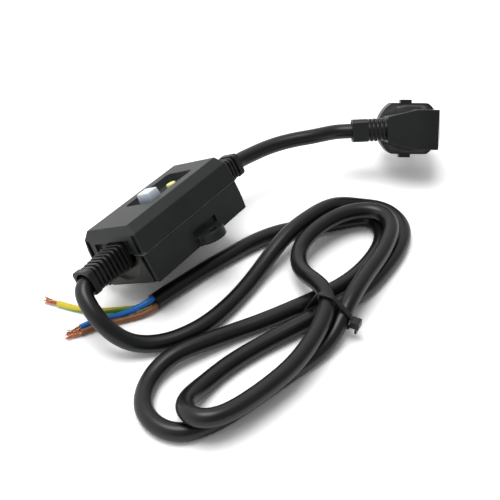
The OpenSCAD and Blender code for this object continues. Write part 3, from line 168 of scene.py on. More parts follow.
def moulded(name, dark, light, patch, roughness, grain, depth):
    """Material with soft patches of two shades and a fine grain, both placed on object coordinates."""
    material = bpy.data.materials.new(name)
    material.use_nodes = True
    tree = material.node_tree
    shader = tree.nodes["Principled BSDF"]
    place = tree.nodes.new("ShaderNodeTexCoord")
    patches = tree.nodes.new("ShaderNodeTexNoise")
    patches.inputs["Scale"].default_value = patch
    patches.inputs["Detail"].default_value = 4
    shades = tree.nodes.new("ShaderNodeValToRGB")
    shades.color_ramp.elements[0].position = 0.3
    shades.color_ramp.elements[0].color = (*dark, 1)
    shades.color_ramp.elements[1].position = 0.7
    shades.color_ramp.elements[1].color = (*light, 1)
    gloss = tree.nodes.new("ShaderNodeMapRange")
    gloss.inputs["To Min"].default_value = roughness[0]
    gloss.inputs["To Max"].default_value = roughness[1]
    grains = tree.nodes.new("ShaderNodeTexNoise")
    grains.inputs["Scale"].default_value = grain
    grains.inputs["Detail"].default_value = 2
    relief = tree.nodes.new("ShaderNodeBump")
    relief.inputs["Strength"].default_value = 0.5
    relief.inputs["Distance"].default_value = depth
    link = tree.links.new
    link(place.outputs["Object"], patches.inputs["Vector"])
    link(place.outputs["Object"], grains.inputs["Vector"])
    link(patches.outputs["Fac"], shades.inputs["Fac"])
    link(shades.outputs["Color"], shader.inputs["Base Color"])
    link(grains.outputs["Fac"], gloss.inputs["Value"])
    link(gloss.outputs["Result"], shader.inputs["Roughness"])
    link(grains.outputs["Fac"], relief.inputs["Height"])
    link(relief.outputs["Normal"], shader.inputs["Normal"])
    return material


sheath_rubber = moulded("sheath_rubber", dark=(0.0045, 0.005, 0.005), light=(0.0075, 0.008, 0.008),
                        patch=90, roughness=(0.26, 0.36), grain=3500, depth=0.00002)
load_cord = laid_line("load_cord_sheath", [load_route], radius=cord_radius, rings=6, roundness=10)
load_cord.data.materials.append(sheath_rubber)
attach(load_cord, "base")
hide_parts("load_cord")

# Lead: the same flex, a short length in a shallow arch from the housing to the plug's relief.
# Its far end is moulded into the plug.
lead_route = [
    (28.7, 5.385, 28.731), (36, 5.385, 28.731), (44, 5.385, 28.731), (52, 5.385, 28.731), (59, 5.385, 28.731),
    (66, 4.8, 28.9), (73, 2.5, 29.2), (82.4, -0.7, 29.7), (91.2, -5.4, 30.3), (99.4, -11.7, 31),
    (107, -19.2, 31.6), (117.553, -25.278, 31.270), (121.628, -30.959, 31.619), (126.285, -37.451, 32.018),
    (136.938, -52.303, 32.930)]
lead_cord = laid_line("lead_cord_sheath", [lead_route], radius=cord_radius, rings=8, roundness=10)
lead_cord.data.materials.append(sheath_rubber)
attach(lead_cord, "base")
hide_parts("lead_cord")

# Cores: three stranded wires in coloured insulation, bared where the sheath is cut back.
# The earth core carries a green stripe on a yellow ground, extruded along its length.
core_radius = 0.00155
load_way = (Vector(load_route[-1]) - Vector(load_route[-2])).normalized()
load_side = Vector((load_way.y, -load_way.x, 0))
cut_gap = 0.05
straight_run = 3


def core_route(across, up, rest):
    """Route of a core that leaves the cut end of the cord square to it."""
    start = Vector(load_route[-1]) + cut_gap * load_way + load_side * across + Vector((0, 0, up))
    return [tuple(start), tuple(start + straight_run * load_way)] + rest


blue_route = core_route(0.3, 2.25, [
    (-40, -8.2, 5.2), (-44.5, -4.6, 3.2), (-49, -1, 1.9), (-53.5, 3, 1.9), (-59, 6.2, 1.9), (-65, 8.6, 1.9)])
earth_route = core_route(2.2, -1.1, [
    (-39.5, -5, 2.2), (-42.8, -1, 1.9), (-46, 2.6, 1.9), (-50, 7, 1.9), (-53.5, 12.6, 1.9), (-56, 18.5, 1.9),
    (-57.6, 24.5, 1.9), (-58.8, 29.6, 1.9)])
brown_route = core_route(-2.2, -1.1, [
    (-40, -11.4, 2.2), (-44.5, -8.6, 1.9), (-49.5, -5, 1.9), (-54.5, -1.2, 1.9), (-60, 2.2, 1.9),
    (-67.5, 5.7, 1.9)])
blue_insulation = moulded("blue_insulation", dark=(0.004, 0.145, 0.54), light=(0.008, 0.2, 0.68),
                          patch=300, roughness=(0.32, 0.42), grain=5000, depth=0.00002)
brown_insulation = moulded("brown_insulation", dark=(0.2, 0.075, 0.028), light=(0.31, 0.125, 0.05),
                           patch=300, roughness=(0.35, 0.45), grain=5000, depth=0.00002)

blue_core = laid_line("blue_core_wire", [blue_route], radius=core_radius, rings=8, roundness=6)
blue_core.data.materials.append(blue_insulation)
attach(blue_core, "base")
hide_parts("blue_core")
brown_core = laid_line("brown_core_wire", [brown_route], radius=core_radius, rings=8, roundness=6)
brown_core.data.materials.append(brown_insulation)
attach(brown_core, "base")
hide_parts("brown_core")


def laid_mesh(name, routes, materials, radius, rings, roundness):
    """Mesh of one smooth line through each route, each with its own material."""
    curve = laid_line(name + "_line", routes, radius, rings, roundness)
    for index, material in enumerate(materials):
        curve.data.materials.append(material)
        curve.data.splines[index].material_index = index
    mesh = bpy.data.meshes.new_from_object(curve.evaluated_get(bpy.context.evaluated_depsgraph_get()))
    bpy.data.objects.remove(curve)
    for polygon in mesh.polygons:
        polygon.use_smooth = True
    piece = bpy.data.objects.new(name, mesh)
    bpy.context.scene.collection.objects.link(piece)
    return piece


def stripe_along(piece, route, first, turn):
    """Mark a stripe that turns along a route of the piece, and give the points of the route's line."""
    middle = laid_line("middle", [route], radius=0, rings=8, roundness=0)
    points = [vertex.co.copy() for vertex in middle.to_mesh().vertices]
    middle.to_mesh_clear()
    bpy.data.objects.remove(middle)
    stripe = piece.data.attributes.new("stripe", "FLOAT", "POINT")
    for vertex in piece.data.vertices:
        nearest = min(range(len(points)), key=lambda i: (points[i] - vertex.co).length)
        along = points[min(nearest + 1, len(points) - 1)] - points[max(nearest - 1, 0)]
        aside = along.cross(Vector((0, 0, 1))).normalized()
        above = aside.cross(along).normalized()
        spoke = vertex.co - points[nearest]
        angle = math.atan2(spoke.dot(above), spoke.dot(aside)) - first - turn * nearest / len(points)
        stripe.data[vertex.index].value = 0.5 + 0.5 * math.cos(angle)
    return points


earth_insulation = moulded("earth_insulation", dark=(0.72, 0.56, 0.02), light=(0.8, 0.66, 0.035),
                           patch=300, roughness=(0.35, 0.45), grain=5000, depth=0.00002)
stripe_green = (0.12, 0.36, 0.04, 1)
stripe_tree = earth_insulation.node_tree
stripe_shader = stripe_tree.nodes["Principled BSDF"]
stripe_value = stripe_tree.nodes.new("ShaderNodeAttribute")
stripe_value.attribute_name = "stripe"
stripe_edge = stripe_tree.nodes.new("ShaderNodeValToRGB")
stripe_edge.color_ramp.elements[0].position = 0.66
stripe_edge.color_ramp.elements[1].position = 0.7
stripe_mix = stripe_tree.nodes.new("ShaderNodeMix")
stripe_mix.data_type = "RGBA"
stripe_mix.inputs["B"].default_value = stripe_green
yellow = stripe_shader.inputs["Base Color"].links[0].from_socket
stripe_tree.links.new(stripe_value.outputs["Fac"], stripe_edge.inputs["Fac"])
stripe_tree.links.new(stripe_edge.outputs["Color"], stripe_mix.inputs["Factor"])
stripe_tree.links.new(yellow, stripe_mix.inputs["A"])
stripe_tree.links.new(stripe_mix.outputs["Result"], stripe_shader.inputs["Base Color"])
earth_core = laid_mesh("earth_core_wire", [earth_route], [earth_insulation], radius=core_radius, rings=8,
                       roundness=6)
earth_path = stripe_along(earth_core, earth_route, first=1.9, turn=3.1)
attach(earth_core, "base")
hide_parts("earth_core")

# Bare strands: fine soft copper wires, twisted in the core and splayed where the insulation was pulled off.
# Those of the blue and the brown core lean together into one loose bundle. All but their radius is in
# millimetres, as routes are.
def plated(name, dark, light, patch, roughness):
    """Material of a bare or plated metal, cloudy and finely drawn."""
    material = moulded(name, dark, light, patch, roughness, grain=6000, depth=0.00001)
    material.node_tree.nodes["Principled BSDF"].inputs["Metallic"].default_value = 1
    return material


copper = plated("copper", dark=(0.5, 0.19, 0.09), light=(0.85, 0.42, 0.25), patch=900, roughness=(0.16, 0.3))
strand_radius = 0.00023
strand_length = 8
strand_root = 0.3
strand_twist = 2.4
strand_steps = 5
strand_drift = 0.32
strand_floor = 0.25
strand_rings = ((0.0, 1), (0.5, 5), (1.0, 9))
bundle_draw = 0.75
splay = random.Random(5)
strand_routes = []
bundle_middle = (Vector(blue_route[-1]) + Vector(brown_route[-1])) / 2
for route, draw in ((blue_route, bundle_draw), (brown_route, bundle_draw), (earth_route, 0)):
    tip = Vector(route[-1])
    way = (tip - Vector(route[-2])).normalized()
    side = way.cross(Vector((0, 0, 1))).normalized()
    rise = side.cross(way)
    inward = (bundle_middle - tip) * draw
    inward -= way * inward.dot(way)
    for ring, count in strand_rings:
        for k in range(count):
            turn = 2 * math.pi * k / count
            lean_out = splay.uniform(0.1, 0.9)
            length = strand_length * splay.uniform(0.82, 1.04)
            route_points = []
            for step in range(strand_steps + 1):
                along = step / strand_steps
                angle = turn + strand_twist * along
                reach = ring * (1 + lean_out * along * along)
                drift = Vector((0, 0, 0))
                if step > 1:
                    drift = Vector([splay.uniform(-strand_drift, strand_drift) for axis in range(3)])
                place = tip + way * (length * along - strand_root) + inward * along + drift * along
                place += side * reach * math.cos(angle) + rise * reach * math.sin(angle)
                place.z = max(place.z, strand_floor)
                route_points.append(place)
            strand_routes.append(route_points)
strands = laid_line("copper_strands", strand_routes, radius=strand_radius, rings=2, roundness=1)
strands.data.materials.append(copper)
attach(strands, "base")
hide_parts("copper_ends")

# Cable tie: one black nylon strap, pulled tight round three runs of the hank, with its head and cut tail.
# Its edges are rounded as the mould leaves them.
crease_angle = math.radians(28)
merge_distance = 0.000002


def softened(name, node, material, body, width, keep=None):
    """Copy of a solid with its outer edges rounded, which stands for the solid."""
    flat_angle = math.radians(0.8)
    sharp_angle = math.radians(25)
    furthest = 0.45 * width
    work = bmesh.new()
    work.from_mesh(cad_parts[node].data)
    bmesh.ops.remove_doubles(work, verts=work.verts, dist=merge_distance)
    surface = BVHTree.FromBMesh(work)
    bmesh.ops.dissolve_limit(work, angle_limit=flat_angle, verts=work.verts, edges=work.edges)
    edges = []
    for edge in work.edges:
        if len(edge.link_faces) != 2 or edge.calc_face_angle_signed() < sharp_angle:
            continue
        if keep is None or keep((edge.verts[0].co + edge.verts[1].co) / 2):
            edges.append(edge)
    bmesh.ops.bevel(work, geom=edges, offset=width, offset_type="OFFSET", segments=3, profile=0.5,
                    affect="EDGES", clamp_overlap=False, material=-1)
    for vertex in work.verts:
        nearest, _, _, distance = surface.find_nearest(vertex.co)
        if distance > furthest:
            vertex.co = nearest
    bmesh.ops.triangulate(work, faces=work.faces)
    mesh = bpy.data.meshes.new(name)
    work.to_mesh(mesh)
    work.free()
    for polygon in mesh.polygons:
        polygon.use_smooth = True
    mesh.set_sharp_from_angle(angle=crease_angle)
    mesh.materials.append(material)
    piece = bpy.data.objects.new(name, mesh)
    bpy.context.scene.collection.objects.link(piece)
    even = piece.modifiers.new("even", "WEIGHTED_NORMAL")
    even.keep_sharp = True
    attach(piece, body)
    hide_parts(node)
    return piece


nylon = moulded("nylon", dark=(0.007, 0.007, 0.007), light=(0.012, 0.012, 0.012),
                patch=120, roughness=(0.3, 0.42), grain=2500, depth=0.00002)
tie = softened("tie_strap", "cable_tie", nylon, "base", width=0.0002)

# Lower shell: a moulded tray in black plastic with a fine eroded grain. It carries the two screw ears,
# and four screws through its floor hold the cover.
housing_origin = (0, -0.002615, 0.014875)
housing_lean = math.radians(30)
housing_frame = Matrix.Translation(housing_origin) @ Matrix.Rotation(-housing_lean, 4, "X")
into_housing = housing_frame.inverted()
housing_up = housing_frame.to_3x3() @ Vector((0, 0, 1))
rim_x = 0.0338
rim_y = 0.0185
roof_height = 0.0312
floor_height = 0.0003


def outside_shell(point):
    """Whether a point of an edge lies on the outside of the housing."""
    place = into_housing @ point
    within = abs(place.x) < rim_x and abs(place.y) < rim_y
    return not within or place.z > roof_height or place.z < floor_height


shell_plastic = moulded("shell_plastic", dark=(0.0105, 0.0125, 0.0118), light=(0.0155, 0.0178, 0.017),
                        patch=60, roughness=(0.34, 0.46), grain=1600, depth=0.00007)
shell_plastic.node_tree.nodes["Principled BSDF"].inputs["Specular IOR Level"].default_value = 0.4
softened("lower_tray", "lower_shell", shell_plastic, "base", width=0.0003, keep=outside_shell)

# Upper shell: the cover, moulded in the same plastic, with a sloped shoulder and the recess for the buttons.
# The edge that meets the tray carries a pale painted highlight, and the recess walls are painted a little
# paler, as painted light.
parting_height = 0.016
highlight_band = 0.00035
recess_x = (-0.0125, 0.0235)
recess_y = 0.0135
recess_floor = 0.0255
edge_highlight = 1
recess_lit = 0.14
painted_light_colour = (0.22, 0.23, 0.225, 1)
upper_shell = softened("upper_cover", "upper_shell", shell_plastic, "base", width=0.0004,
                       keep=outside_shell)
# Painted light: a pale painted highlight along the parting edge, and painted light on the recess walls.
upper_painted_light = upper_shell.data.attributes.new("painted_light", "FLOAT", "POINT")
for vertex in upper_shell.data.vertices:
    place = into_housing @ vertex.co
    on_rim = abs(place.x) > rim_x or abs(place.y) > rim_y
    by_keys = recess_x[0] < place.x < recess_x[1] and abs(place.y) < recess_y
    if on_rim and place.z < parting_height + highlight_band:
        upper_painted_light.data[vertex.index].value = edge_highlight
    elif by_keys and recess_floor < place.z < roof_height:
        upper_painted_light.data[vertex.index].value = recess_lit
# The painted highlight and painted light are mixed into the shell colour.
light_tree = shell_plastic.node_tree
light_shader = light_tree.nodes["Principled BSDF"]
light_value = light_tree.nodes.new("ShaderNodeAttribute")
light_value.attribute_name = "painted_light"
light_mix = light_tree.nodes.new("ShaderNodeMix")
light_mix.data_type = "RGBA"
light_mix.inputs["B"].default_value = painted_light_colour
unlit_colour = light_shader.inputs["Base Color"].links[0].from_socket
light_tree.links.new(light_value.outputs["Fac"], light_mix.inputs["Factor"])
light_tree.links.new(unlit_colour, light_mix.inputs["A"])
light_tree.links.new(light_mix.outputs["Result"], light_shader.inputs["Base Color"])

# Housing screws: four zinc-plated pan heads with a cross recess, driven through the tray into the cover.
# Board and clamp screws further down are made the same way, and terminal screws with a slot.
zinc = plated("zinc", dark=(0.42, 0.43, 0.44), light=(0.6, 0.61, 0.62), patch=400, roughness=(0.28, 0.42))
screw_sides = 32


def screw_mesh(name, head, shank, outline):
    """Screw along z, head above zero; head and shank are (radius, length), outline cuts the recess."""
    work = bmesh.new()
    soft = 0.12 * head[1]
    tip = 0.4 * shank[0]
    taper = 0.8
    recess_height = 0.45 * head[1]
    steps = [(head[0] - soft, head[1]), (head[0], head[1] - soft), (head[0], 0), (shank[0], 0),
             (shank[0], -shank[1] + shank[0]), (tip, -shank[1])]
    rings = []
    for radius, height in steps:
        ring = []
        for k in range(screw_sides):
            turn = 2 * math.pi * k / screw_sides
            ring.append(work.verts.new((radius * math.cos(turn), radius * math.sin(turn), height)))
        rings.append(ring)
    for above, below in zip(rings, rings[1:]):
        for k in range(screw_sides):
            after = k - screw_sides + 1
            work.faces.new((above[k], below[k], below[after], above[after]))
    work.faces.new(rings[-1])
    mouth = [work.verts.new((x, y, head[1])) for x, y in outline]
    floor = [work.verts.new((taper * x, taper * y, recess_height)) for x, y in outline]
    last = len(outline) - 1
    for k in range(len(outline)):
        work.faces.new((mouth[k], mouth[k - last], floor[k - last], floor[k]))
    work.faces.new(floor)
    lip = [edge for edge in work.edges if len(edge.link_faces) == 1]
    bmesh.ops.triangle_fill(work, edges=lip, use_beauty=True)
    bmesh.ops.triangulate(work, faces=work.faces)
    bmesh.ops.recalc_face_normals(work, faces=work.faces)
    mesh = bpy.data.meshes.new(name)
    work.to_mesh(mesh)
    work.free()
    return mesh


def set_out(name, mesh, places, material, node):
    """One piece of equal copies of a mesh at these places, which stands for the solid."""
    work = bmesh.new()
    for place in places:
        done = len(work.verts)
        work.from_mesh(mesh)
        work.verts.ensure_lookup_table()
        bmesh.ops.transform(work, matrix=place, verts=work.verts[done:])
    whole = bpy.data.meshes.new(name)
    work.to_mesh(whole)
    work.free()
    for polygon in whole.polygons:
        polygon.use_smooth = True
    whole.set_sharp_from_angle(angle=crease_angle)
    whole.materials.append(material)
    piece = bpy.data.objects.new(name, whole)
    bpy.context.scene.collection.objects.link(piece)
    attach(piece, "base")
    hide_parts(node)
    return piece


def cross(reach, half):
    """Outline of a cross recess."""
    corners = []
    for k in range(4):
        turn = Matrix.Rotation(k * math.pi / 2, 2)
        corners += [turn @ Vector(corner) for corner in ((half, half), (half, reach), (-half, reach))]
    return [tuple(corner) for corner in corners]


def corner_places(x, y, z, flip):
    """Places at the four corners of the housing, head up, or head down if flipped."""
    over = Matrix.Rotation(math.pi, 4, "X") if flip else Matrix()
    return [housing_frame @ Matrix.Translation((a * x, b * y, z)) @ over for a in (-1, 1) for b in (-1, 1)]


housing_screw = screw_mesh("housing_screw", head=(0.0028, 0.002), shank=(0.00145, 0.0208),
                           outline=cross(reach=0.0016, half=0.0004))
housing_screw_places = corner_places(x=0.03005, y=0.0148, z=0.0032, flip=True)
set_out("housing_screw_set", housing_screw, housing_screw_places, zinc, "housing_screws")

# Button panel: a dark insert, moulded smooth. It drops on the ledge of the recess, and both buttons
# pass through it.
panel_plastic = moulded("panel_plastic", dark=(0.06, 0.056, 0.066), light=(0.074, 0.069, 0.08),
                        patch=80, roughness=(0.16, 0.24), grain=900, depth=0.00001)
softened("panel_insert", "button_panel", panel_plastic, "base", width=0.0002)

# Reset button: a bevelled block of milky translucent plastic, moulded with its flange and stem.
# It is painted darker towards the foot, as painted shade.
reset_plastic = moulded("reset_plastic", dark=(0.74, 0.79, 0.86), light=(0.82, 0.86, 0.91),
                        patch=150, roughness=(0.22, 0.3), grain=1500, depth=0.00001)
reset_tree = reset_plastic.node_tree
reset_shader = reset_tree.nodes["Principled BSDF"]
reset_shader.inputs["Subsurface Weight"].default_value = 0.3
reset_shader.inputs["Subsurface Radius"].default_value = (0.002, 0.0025, 0.004)
reset_shader.inputs["Subsurface Scale"].default_value = 1
reset_key = softened("reset_key", "reset_button", reset_plastic, "reset", width=0.0005)
reset_top = max(vertex.co.dot(housing_up) for vertex in reset_key.data.vertices)
# Painted shade: the key's colour darkens from its top down to its foot.
fade_start = 0.0004
fade_end = 0.0045
foot_shade_colour = (0.28, 0.34, 0.42, 1)
reset_place = reset_tree.nodes.new("ShaderNodeTexCoord")
reset_height = reset_tree.nodes.new("ShaderNodeVectorMath")
reset_height.operation = "DOT_PRODUCT"
reset_height.inputs[1].default_value = housing_up
reset_shade_fade = reset_tree.nodes.new("ShaderNodeMapRange")
reset_shade_fade.inputs["From Min"].default_value = reset_top - fade_end
reset_shade_fade.inputs["From Max"].default_value = reset_top - fade_start
reset_mix = reset_tree.nodes.new("ShaderNodeMix")
reset_mix.data_type = "RGBA"
reset_mix.inputs["A"].default_value = foot_shade_colour
milky = reset_shader.inputs["Base Color"].links[0].from_socket
reset_tree.links.new(reset_place.outputs["Object"], reset_height.inputs[0])
reset_tree.links.new(reset_height.outputs["Value"], reset_shade_fade.inputs["Value"])
reset_tree.links.new(reset_shade_fade.outputs["Result"], reset_mix.inputs["Factor"])
reset_tree.links.new(milky, reset_mix.inputs["B"])
reset_tree.links.new(reset_mix.outputs["Result"], reset_shader.inputs["Base Color"])

# Test button: a round pale yellow button with a soft edge, on its own flange and stem.
# Its stem bends a stamped brass blade, whose foot stands on the board.
test_plastic = moulded("test_plastic", dark=(0.74, 0.73, 0.2), light=(0.82, 0.81, 0.28),
                       patch=150, roughness=(0.25, 0.35), grain=1500, depth=0.00001)
softened("test_key", "test_button", test_plastic, "test", width=0.00045)
brass = plated("brass", dark=(0.5, 0.33, 0.1), light=(0.68, 0.48, 0.18), patch=500, roughness=(0.25, 0.4))
blade = softened("test_spring", "test_blade", brass, "base", width=0.0001)
blade.modifiers.clear()
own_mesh(blade)

# Strain reliefs and gasket: ribbed sleeves in soft black rubber, moulded on the cords and held in the
# shells by a flange, and a cord of the same rubber laid in the joint of the shells.
relief_rubber = moulded("relief_rubber", dark=(0.0065, 0.007, 0.007), light=(0.011, 0.0115, 0.0115),
                        patch=120, roughness=(0.36, 0.48), grain=3000, depth=0.00003)
softened("line_sleeve", "line_relief", relief_rubber, "base", width=0.00025)
softened("load_sleeve", "load_relief", relief_rubber, "base", width=0.00025)
softened("joint_gasket", "shell_gasket", relief_rubber, "base", width=0.00015)

# Circuit board: glass-fibre board with tracks under green lacquer, held on four posts by small screws.
# It carries a control chip, a blue lacquered varistor and a banded resistor.
lacquer = moulded("lacquer", dark=(0.012, 0.085, 0.035), light=(0.018, 0.11, 0.045),
                  patch=200, roughness=(0.2, 0.3), grain=3000, depth=0.00001)


def housing_place(tree, centre):
    """Socket with the place in the housing, measured from a centre."""
    where = tree.nodes.new("ShaderNodeTexCoord")
    turned = tree.nodes.new("ShaderNodeMapping")
    turned.inputs["Rotation"].default_value = (housing_lean, 0, 0)
    turned.inputs["Location"].default_value = into_housing.translation - Vector(centre)
    tree.links.new(where.outputs["Object"], turned.inputs["Vector"])
    return turned.outputs["Vector"]


track_colour = (0.06, 0.24, 0.08, 1)
track_tree = lacquer.node_tree
track_shader = track_tree.nodes["Principled BSDF"]
tracks = track_tree.nodes.new("ShaderNodeTexBrick")
tracks.inputs["Scale"].default_value = 260
tracks.inputs["Mortar Size"].default_value = 0.035
tracks.inputs["Color1"].default_value = (0, 0, 0, 1)
tracks.inputs["Color2"].default_value = (0, 0, 0, 1)
tracks.inputs["Mortar"].default_value = (1, 1, 1, 1)
track_mix = track_tree.nodes.new("ShaderNodeMix")
track_mix.data_type = "RGBA"
track_mix.inputs["B"].default_value = track_colour
plain_green = track_shader.inputs["Base Color"].links[0].from_socket
track_tree.links.new(housing_place(track_tree, (0, 0, 0)), tracks.inputs["Vector"])
track_tree.links.new(tracks.outputs["Color"], track_mix.inputs["Factor"])
track_tree.links.new(plain_green, track_mix.inputs["A"])
track_tree.links.new(track_mix.outputs["Result"], track_shader.inputs["Base Color"])
softened("track_board", "circuit_board", lacquer, "base", width=0.0001)
board_screw = screw_mesh("board_screw", head=(0.002, 0.0014), shank=(0.0011, 0.0051),
                         outline=cross(reach=0.0011, half=0.0003))
board_screw_places = corner_places(x=0.0172, y=0.01445, z=0.0076, flip=False)
set_out("board_screw_set", board_screw, board_screw_places, zinc, "board_screws")
softened("chip_case", "control_chip", panel_plastic, "base", width=0.00015)
softened("varistor_disc", "varistor", blue_insulation, "base", width=0.0003)

resistor_lacquer = moulded("resistor_lacquer", dark=(0.5, 0.38, 0.2), light=(0.6, 0.47, 0.26),
                           patch=500, roughness=(0.3, 0.4), grain=3000, depth=0.00001)
band_tree = resistor_lacquer.node_tree
band_shader = band_tree.nodes["Principled BSDF"]
band_split = band_tree.nodes.new("ShaderNodeSeparateXYZ")
band_range = band_tree.nodes.new("ShaderNodeMapRange")
resistor_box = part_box("test_resistor")
band_range.inputs["From Min"].default_value = resistor_box[0][0]
band_range.inputs["From Max"].default_value = resistor_box[1][0]
bands = band_tree.nodes.new("ShaderNodeValToRGB")
bands.color_ramp.interpolation = "CONSTANT"
plain = (1, 1, 1, 1)
band_colours = (
    (0.2, (0.2, 0.12, 0.08, 1)), (0.28, plain), (0.36, (0.03, 0.03, 0.04, 1)), (0.44, plain),
    (0.52, (0.9, 0.3, 0.1, 1)), (0.6, plain), (0.74, (0.8, 0.62, 0.3, 1)), (0.82, plain))
for position, colour in band_colours:
    bands.color_ramp.elements.new(position).color = colour
bands.color_ramp.elements[0].color = plain
band_mix = band_tree.nodes.new("ShaderNodeMix")
band_mix.data_type = "RGBA"
band_mix.blend_type = "MULTIPLY"
band_mix.inputs["Factor"].default_value = 1
beige = band_shader.inputs["Base Color"].links[0].from_socket
band_tree.links.new(housing_place(band_tree, (0, 0, 0)), band_split.inputs["Vector"])
band_tree.links.new(band_split.outputs["X"], band_range.inputs["Value"])
band_tree.links.new(band_range.outputs["Result"], bands.inputs["Fac"])
band_tree.links.new(beige, band_mix.inputs["A"])
band_tree.links.new(bands.outputs["Color"], band_mix.inputs["B"])
band_tree.links.new(band_mix.outputs["Result"], band_shader.inputs["Base Color"])
softened("banded_resistor", "test_resistor", resistor_lacquer, "base", width=0.0004)

# Contact set: a black moulded carrier with two brass bridges rides on a steel guide, against a coil spring
# of steel wire; brass strips on the board meet the bridges.
softened("carrier_block", "contact_carrier", shell_plastic, "carrier", width=0.0002)
softened("contact_bridges", "moving_contacts", brass, "carrier", width=0.0001)
softened("contact_strips", "fixed_contacts", brass, "base", width=0.0001)
softened("guide_post", "carrier_guide", zinc, "base", width=0.00015)
turn_points = 12


def in_housing(route):
    """Route in the housing turned into a route of the part, both in millimetres."""
    return [housing_frame @ (Vector(point) / 1000) * 1000 for point in route]


def coil_spring(name, radius, span, turns, wire, place, node):
    """Coil spring of round wire along z, with the place turning it into the housing."""
    step = 2 * math.pi / turn_points
    control = radius * 3 / (2 + math.cos(step))
    route = []
    for k in range(turn_points * turns + 1):
        turn = step * k
        height = span[0] + (span[1] - span[0]) * k / (turn_points * turns)
        route.append(place @ Vector((control * math.cos(turn), control * math.sin(turn), height)))
    piece = laid_mesh(name, [in_housing(route)], [zinc], radius=wire, rings=3, roundness=3)
    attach(piece, "base")
    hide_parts(node)
    return piece


lift_axis = Matrix.Translation((-2.5, 0, 0))
lift_spring = coil_spring("lift_spring", radius=2.6, span=(8.8, 14.3), turns=5, wire=0.00035, place=lift_axis,
                          node="carrier_spring")
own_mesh(lift_spring)

# Trip magnet: copper wire wound in layers on a pale moulded bobbin in a bent steel yoke. The steel plunger
# strikes out of it, and a small spring stands behind the plunger.
pale_plastic = moulded("pale_plastic", dark=(0.62, 0.6, 0.52), light=(0.7, 0.68, 0.6),
                       patch=200, roughness=(0.35, 0.45), grain=2500, depth=0.00002)
softened("magnet_yoke", "trip_yoke", zinc, "base", width=0.0001)
softened("magnet_bobbin", "trip_bobbin", pale_plastic, "base", width=0.0001)
softened("magnet_plunger", "trip_plunger", zinc, "plunger", width=0.00015)
magnet_height = 13.9
magnet_axis = Matrix.Translation((0, 0, magnet_height)) @ Matrix.Rotation(math.pi / 2, 4, "Y")
coil_spring("tail_spring", radius=1.2, span=(-15.9, -14.55), turns=3, wire=0.0002, place=magnet_axis,
            node="plunger_spring")
enamel = plated("enamel", dark=(0.34, 0.1, 0.035), light=(0.5, 0.17, 0.06), patch=600, roughness=(0.22, 0.35))


def wound(name, route, wire, node):
    """Winding of enamelled wire along a route in the housing."""
    piece = laid_line(name, [in_housing(route)], radius=wire, rings=2, roundness=2)
    piece.data.materials.append(enamel)
    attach(piece, "base")
    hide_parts(node)


coil_layers = 6
coil_points = 8 * turn_points
coil_start = -15.2
coil_width = 2.3
first_layer = 2.82
layer_step = 0.31
outward = 1.047
coil_route = []
for layer in range(coil_layers):
    for k in range(coil_points):
        turn = 2 * math.pi * k / turn_points
        along = k / coil_points if layer % 2 == 0 else 1 - k / coil_points
        reach = (first_layer + layer_step * layer) * outward
        height = magnet_height + reach * math.sin(turn)
        coil_route.append((coil_start + coil_width * along, reach * math.cos(turn), height))
wound("magnet_winding", coil_route, wire=0.00016, node="trip_coil")

# Transformer: copper wire wound round a ring of steel strip. Two brass links lead live and neutral through
# the ring to the contacts, and an insulated link leads the earth past them. Routes are in millimetres.
strip_steel = plated("strip_steel", dark=(0.13, 0.13, 0.14), light=(0.2, 0.2, 0.21), patch=300,
                     roughness=(0.35, 0.5))
ring_x = 12.2
ring_height = 14.2
strip_tree = strip_steel.node_tree
strip_rings = strip_tree.nodes.new("ShaderNodeTexWave")
strip_rings.wave_type = "RINGS"
strip_rings.rings_direction = "X"
strip_rings.inputs["Scale"].default_value = 900
strip_bump = strip_tree.nodes.new("ShaderNodeBump")
strip_bump.inputs["Distance"].default_value = 0.00005
ring_place = housing_place(strip_tree, (ring_x / 1000, 0, ring_height / 1000))
strip_tree.links.new(ring_place, strip_rings.inputs["Vector"])
strip_tree.links.new(strip_rings.outputs["Fac"], strip_bump.inputs["Height"])
strip_tree.links.new(strip_bump.outputs["Normal"], strip_tree.nodes["Principled BSDF"].inputs["Normal"])
softened("strip_ring", "transformer_core", strip_steel, "base", width=0.0001)
ring_section = [(3.25, -1.6), (3.25, 0), (3.25, 1.6), (4, 2.4), (5.5, 2.4), (6.25, 1.6), (6.25, 0),
                (6.25, -1.6), (5.5, -2.4), (4, -2.4)]
ring_turns = 80
ring_bore = 4
under_layer = 0.4
turn_steps = len(ring_section)
ring_route = []
for k in range(ring_turns * turn_steps):
    reach, across = ring_section[k % turn_steps]
    if reach < ring_bore and k // turn_steps % 2 == 1:
        reach += under_layer
    turn = 2 * math.pi * k / (ring_turns * turn_steps)
    ring_route.append((ring_x + across, reach * math.cos(turn), ring_height + reach * math.sin(turn)))
wound("ring_winding", ring_route, wire=0.0002, node="transformer_winding")

link_offset = 1.4
contact_offset = 6.5
link_routes = []
for pole, side in ((6.5, 1), (0, -1)):
    inside = side * link_offset
    outside = side * contact_offset
    link_routes.append(in_housing([
        (17.65, pole, ring_height), (16.5, pole, ring_height), (16.2, (pole + inside) / 2, ring_height),
        (15.2, inside, ring_height), (ring_x, inside, ring_height), (9.1, inside, ring_height),
        (7.8, side * 3.95, 13.2), (7.3, outside, 10.9), (7.3, outside, 9.1), (7.3, outside, 7.6)]))
live_links = laid_line("live_links", link_routes, radius=0.0008, rings=6, roundness=4)
live_links.data.materials.append(brass)
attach(live_links, "base")
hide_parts("line_links")
earth_run = in_housing([
    (17.65, -6.5, 9.2), (16.2, -6.5, 9.2), (14.4, -10.6, 9.2), (0, -10.6, 9.2), (-14.4, -10.6, 9.2),
    (-16.2, -6.5, 9.2), (-17.65, -6.5, 9.2)])
earth_bridge = laid_mesh("earth_bridge", [earth_run], [earth_insulation], radius=0.0009, rings=8, roundness=4)
stripe_along(earth_bridge, earth_run, first=1.2, turn=9)
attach(earth_bridge, "base")
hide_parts("earth_link")

